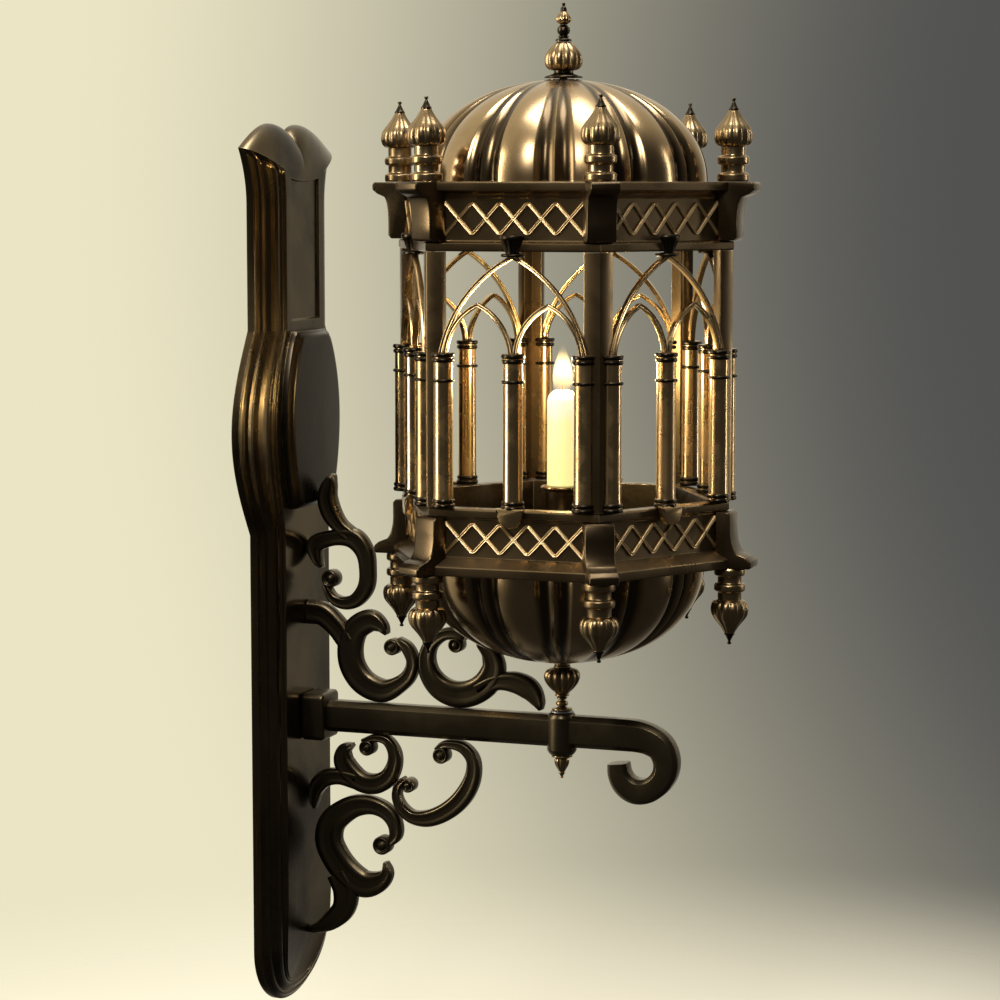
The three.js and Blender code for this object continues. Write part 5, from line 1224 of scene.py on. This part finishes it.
def post():
    leg, thick, radius = 12.5, 8.0, 131.3
    along = (COS30 * leg, leg / 2)
    corner = (0, -radius)
    arm_end = (along[0], -radius + along[1])
    back = (along[0] - thick / 2, -radius + along[1] + COS30 * thick)
    heel = (0, -radius + thick / COS30)
    section = [corner, arm_end, back, heel, (-back[0], back[1]), (-arm_end[0], arm_end[1])]
    section = rounded(section, 0.8, 2, closed=True)
    foot, head = SILL_TOP + SEAT_GAP, CORNICE_BOTTOM - SEAT_GAP
    rings = [np.column_stack([np.array(section), np.full(len(section), z)]) for z in (foot, head)]
    return skin(rings)


# Tray, pan, candle and flame
def tray():
    """The floor with its bore and the upright walls behind the columns."""
    bore, outer, inner, floor = 4.4, SILL_INNER - 0.35, SILL_INNER - 0.35 - 2.8, TRAY_FLOOR + 3
    return hexagon(rounded([(bore, TRAY_FLOOR), (outer, TRAY_FLOOR), (outer, SILL_TOP), (inner, SILL_TOP),
                            (inner, floor + 1.2), (inner - 1.2, floor), (bore, floor),
                            (bore, TRAY_FLOOR)], 0.4, 2))


def rod_nut():
    low, high = span("rod_nut")
    z0, z1 = low[2], high[2]
    return lathe([(3.8, z0), (7.2, z0), (8, z0 + 0.5), (8, z1 - 0.5), (7.2, z1), (3.8, z1), (3.8, z0)], 6)


def candle_pan():
    disc = PAN_FOOT + 33
    dish = [(13.5, -1.2), (14.2, -0.5), (15.2, 0), (16.1, 0.4), (16.5, 1.2), (16.3, 2.2), (15.7, 2.5),
            (14.9, 2.2), (1.7, 2.2), (1.5, 3.0), (1.5, 12.5), (0.3, 16.5)]
    side = [(0.3, disc - 2), (11.5, disc - 2), (11.5, PAN_FOOT), (13.5, PAN_FOOT)] + raised(dish, disc)
    radii = [0.4, 0.4, 0.0] + [0.4] * (len(side) - 3)
    return lathe(rounded(side, radii, 2), 64)


CANDLE_RADIUS = 11.6
WICK_HEIGHT = 7.0


def candle_body():
    """Wax with a domed top and sides that are a little uneven near it."""
    foot, top, radius = CANDLE_FOOT, CANDLE_TIP - WICK_HEIGHT, CANDLE_RADIUS
    side = [(radius - 0.6, foot), (radius, foot + 0.6), (radius, top - 8.4), (11.2, top - 6.0),
            (10.0, top - 3.6), (8.0, top - 1.6), (5.6, top - 0.5), (3.2, top - 0.2), (0.9, top - 0.6)]

    def waver(turns, r, z):
        near_top = max(0.0, 1 - (top - z) / 22)
        broad, fine = np.sin(turns * 3 + z * 0.3), np.sin(turns * 5 + z * 0.11)
        return 1 + 0.012 * near_top * broad + 0.006 * fine - 0.012 * near_top

    upright = [(radius, z) for z in np.linspace(foot + 4, top - 11, 16)]
    shoulder = [tuple(p) for p in smooth_line(side[2:], 3)]
    return lathe(side[:2] + upright + shoulder, 64, waver)


def wick():
    """A thin wick that leans and narrows upwards."""
    top = CANDLE_TIP - WICK_HEIGHT
    line = [(0.0, top - 1.6), (0.1, top + 1), (0.35, top + 3.4), (0.75, top + 5.4), (1.0, CANDLE_TIP - 0.4)]
    line = smooth_line(line, 4)
    turns = turns_of(12)
    rings = []
    for i, (x, z) in enumerate(line):
        radius = 0.75 - 0.2 * i / len(line)
        rings.append(np.column_stack([x + radius * np.sin(turns), radius * np.cos(turns), np.full(12, z)]))
    return skin(rings)


FLAME_FOOT, FLAME_TIP = CANDLE_TIP - 6.8, CANDLE_TIP + 27


def flame():
    shape = [(4.6, 0), (6.4, 0.06), (7.4, 0.16), (7.6, 0.28), (7.1, 0.42), (5.8, 0.6), (4.1, 0.76),
             (2.2, 0.9), (0.3, 1)]
    line = smooth_line([(r, lerp(FLAME_FOOT, FLAME_TIP, up)) for r, up in shape], 5)
    return lathe([tuple(p) for p in line], 40)


# The pieces in their places
WALL, BRACKET = "plate_bronze", "bracket_bronze"
piece("moulded_backplate", wall_plate(), plate_bronze, "bracket", WALL, "wall_plate")
piece("raised_shield", plate_shield(), shield_bronze, "bracket", WALL, "plate_shield")
piece("arm_socket_block", arm_socket(), bracket_bronze, "bracket", BRACKET, "arm_socket", sharp=50)
piece("hooked_arm", arm(), bracket_bronze, "bracket", BRACKET, "arm")
for number, (side, strokes, rolls) in enumerate(SCROLLS, 1):
    piece(f"cast_scroll_{number}", scroll(side, strokes, rolls), bracket_bronze, "bracket", BRACKET,
          f"scroll_{number}", sharp=60)

on_axis("flanged_bush", stem_bush(), steel, "bracket", "steel", "stem_bush")
on_axis("beaded_stem", stem(), turned_brass, "lantern", "turned_brass", "stem")
on_axis("fluted_knop", knop(), turned_brass, "lantern", "turned_brass", "knop", sharp=50)
on_axis("thin_washer", stem_washer(), turned_brass, "washer", "turned_brass", "stem_washer")
on_axis("onion_nut", end_nut(), turned_brass, "nut", "turned_brass", "end_nut", sharp=50)
on_axis("lobed_bowl", bowl(), lobed_brass, "lantern", "lobed_brass", "bowl", sharp=50)
on_axis("lobed_dome", dome(), lobed_brass, "dome", "lobed_brass", "dome", sharp=50)
on_axis("dome_spire", dome_finial(), turned_brass, "dome", "turned_brass", "dome_finial", sharp=50)
on_axis("dome_spire_beads", dome_finial_dark(), black_tip, "dome", "turned_brass")

on_axis("lower_rail", sill_rail(), rail_brass, "lantern", "rail_brass", "sill_rail", sharp=30)
on_axis("upper_rail", cornice(), rail_brass, "lantern", "rail_brass", "cornice", sharp=30)
on_axis("lower_lattice", lattice(SILL_BOTTOM + 16.2, SILL_TOP - 10.4), wire_brass, "lantern", "rail_brass")
on_axis("upper_lattice", lattice(CORNICE_BOTTOM + 11.7, CORNICE_TOP - 14.6), wire_brass, "lantern",
        "rail_brass")

lower = corner_bracket(LOWER_FACE, LOWER_HEIGHT, SILL_BOTTOM, False)
upper = corner_bracket(CORNICE_EDGE, UPPER_HEIGHT, CORNICE_TOP - UPPER_HEIGHT, True)
six("lower_corner", lower, corner_bronze, "corner_bronze", "lower_bracket", sharp=50)
six("upper_corner", upper, corner_bronze, "corner_bronze", "upper_bracket", sharp=50)

FINIAL_REACH = 130.8     # from the axis to a finial's centre
up_finial = shifted(finial(FINIAL_TIP - FINIAL_FOOT), 0, -FINIAL_REACH, FINIAL_FOOT)
down_finial = shifted(hung(finial(DROP_SEAT - DROP_TIP)), 0, -FINIAL_REACH, DROP_SEAT)
six("top_spike", up_finial, turned_brass, "turned_brass", "top_finial", sharp=50)
six("hanging_spike", down_finial, turned_brass, "turned_brass", "drop_finial", sharp=50)
up_tips = around(shifted(finial_tip(FINIAL_TIP - FINIAL_FOOT), 0, -FINIAL_REACH, FINIAL_FOOT), 6)
down_tips = around(shifted(hung(finial_tip(DROP_SEAT - DROP_TIP)), 0, -FINIAL_REACH, DROP_SEAT), 6)
on_axis("blackened_points", joined(up_tips, down_tips), black_tip, "lantern", "turned_brass")

six("corner_angle", post(), rail_brass, "rail_brass", "post", sharp=30)
six("column_screen", arcade(), column_brass, "column_brass", "arcade", start=30, sharp=45)
# Blackened finish on the column rings and cup: painted shade on brass.
on_axis("column_rings", around(arcade_dark(), 6, 30), black_tip, "lantern", "column_brass", sharp=50)

on_axis("gallery_floor", tray(), tray_brass, "lantern", "tray_brass", "gallery_tray", sharp=30)
on_axis("hexagon_nut", rod_nut(), steel, "lantern", "steel", "rod_nut", sharp=30)
on_axis("drip_pan", candle_pan(), turned_brass, "lantern", "turned_brass", "candle_pan")
on_axis("wax_candle", candle_body(), wax_material(), "candle", "wax", "candle")
on_axis("candle_wick", wick(), wick_material(), "candle", "wax")
on_axis("candle_flame", flame(), flame_material(FLAME_FOOT, FLAME_TIP), "candle", "wax")


# Camera at the photograph's place: a long lens to the left of the lantern, a little above it
AZIMUTH, TURN, PITCH, DISTANCE, RISE = 18.45, 1.25, 6.18, 2160.0, 410.0


def camera():
    data = bpy.data.cameras.new("camera")
    data.lens = 103.68
    data.sensor_width = 36.0
    eye = new_object("camera", data)
    look = math.radians(AZIMUTH)
    forward = Vector((math.cos(look), math.sin(look), 0))
    right = Vector((math.sin(look), -math.cos(look), 0))
    eye.location = (Vector((0, -REACH, RISE)) - forward * DISTANCE) * MM
    aim = forward * math.cos(math.radians(TURN)) - right * math.sin(math.radians(TURN))
    aim = aim * math.cos(math.radians(PITCH)) + Vector((0, 0, -math.sin(math.radians(PITCH))))
    eye.rotation_mode = "QUATERNION"
    eye.rotation_quaternion = aim.to_track_quat("-Z", "Y")
    bpy.context.scene.camera = eye


def area_lamp(name, place, target, size, power, colour):
    data = bpy.data.lights.new(name, "AREA")
    data.shape = "RECTANGLE"
    data.size, data.size_y = size
    data.energy = power
    data.color = colour
    lamp = new_object(name, data)
    lamp.location = place
    lamp.rotation_mode = "QUATERNION"
    lamp.rotation_quaternion = (Vector(target) - Vector(place)).to_track_quat("-Z", "Y")


def backdrop():
    """A pale backdrop that greys to one side, and a softer light from behind for all but the camera."""
    world = bpy.data.worlds.new("studio")
    bpy.context.scene.world = world
    world.use_nodes = True
    n = Nodes(world.node_tree)
    way = n.add("ShaderNodeTexCoord").outputs["Generated"]
    grey_side = n.vector("DOT_PRODUCT", way, (0.996, -0.087, 0.0))
    pale = n.mix(n.between(grey_side, 0.835, 0.965), (0.83, 0.78, 0.56, 1), (0.085, 0.085, 0.083, 1))
    behind = n.vector("DOT_PRODUCT", way, (0.5, 0.66, 0.56))
    soft = n.mix(n.between(behind, -0.3, 0.95), (0.045, 0.042, 0.038, 1), (0.95, 0.88, 0.70, 1))
    seen = n.add("ShaderNodeLightPath").outputs["Is Camera Ray"]
    n.link(n.mix(seen, soft, pale), world.node_tree.nodes["Background"].inputs["Color"])


def pale_floor():
    """A round floor that fades into the backdrop. Only the camera sees it."""
    floor = bpy.data.meshes.new("floor")
    work = bmesh.new()
    bmesh.ops.create_circle(work, cap_ends=True, segments=96, radius=2.6)
    work.to_mesh(floor)
    work.free()
    ground = new_object("floor", floor)
    ground.location = (0, -REACH * MM, PLATE_BOTTOM * MM - 0.12)
    material, n, surface = new_material("pale floor")
    give(surface, Base_Color=(0.66, 0.64, 0.56, 1), Roughness=0.9)
    away = n.add("ShaderNodeVectorMath", operation="LENGTH")
    n.link(n.place(), away.inputs[0])
    cover = n.between(away.outputs["Value"], 0.25, 1.1, 1.0, 0.0)
    seen = n.add("ShaderNodeLightPath").outputs["Is Camera Ray"]
    n.link(n.math("MULTIPLY", cover, seen), surface.inputs["Alpha"])
    floor.materials.append(material)


# Four soft lamps: place, aim, size, power and colour
LAMPS = {
    "key": ((-1.8, -0.5, 1.9), (0, -0.2, 0.15), (0.5, 0.9), 40, (1.0, 0.95, 0.86)),
    "side": ((-1.0, 1.5, 0.7), (0, -0.1, 0.15), (0.5, 1.7), 34, (1.0, 0.90, 0.72)),
    "right": ((0.9, -1.8, 0.6), (0, -0.2, 0.15), (0.12, 1.4), 7, (1.0, 0.95, 0.84)),
    "overhead": ((0.2, -0.3, 2.0), (0, -0.2, 0.2), (0.9, 0.9), 34, (1.0, 0.97, 0.92)),
}


def candle_light():
    glow = bpy.data.lights.new("candle light", "POINT")
    glow.energy = 1.1
    glow.color = (1.0, 0.78, 0.42)
    glow.shadow_soft_size = 0.012
    new_object("candle light", glow).location = (0, -REACH * MM, (CANDLE_TIP + 8) * MM)


camera()
backdrop()
pale_floor()
for lamp_name, lamp in LAMPS.items():
    area_lamp(lamp_name, *lamp)
candle_light()
bpy.context.scene.view_settings.view_transform = "Standard"
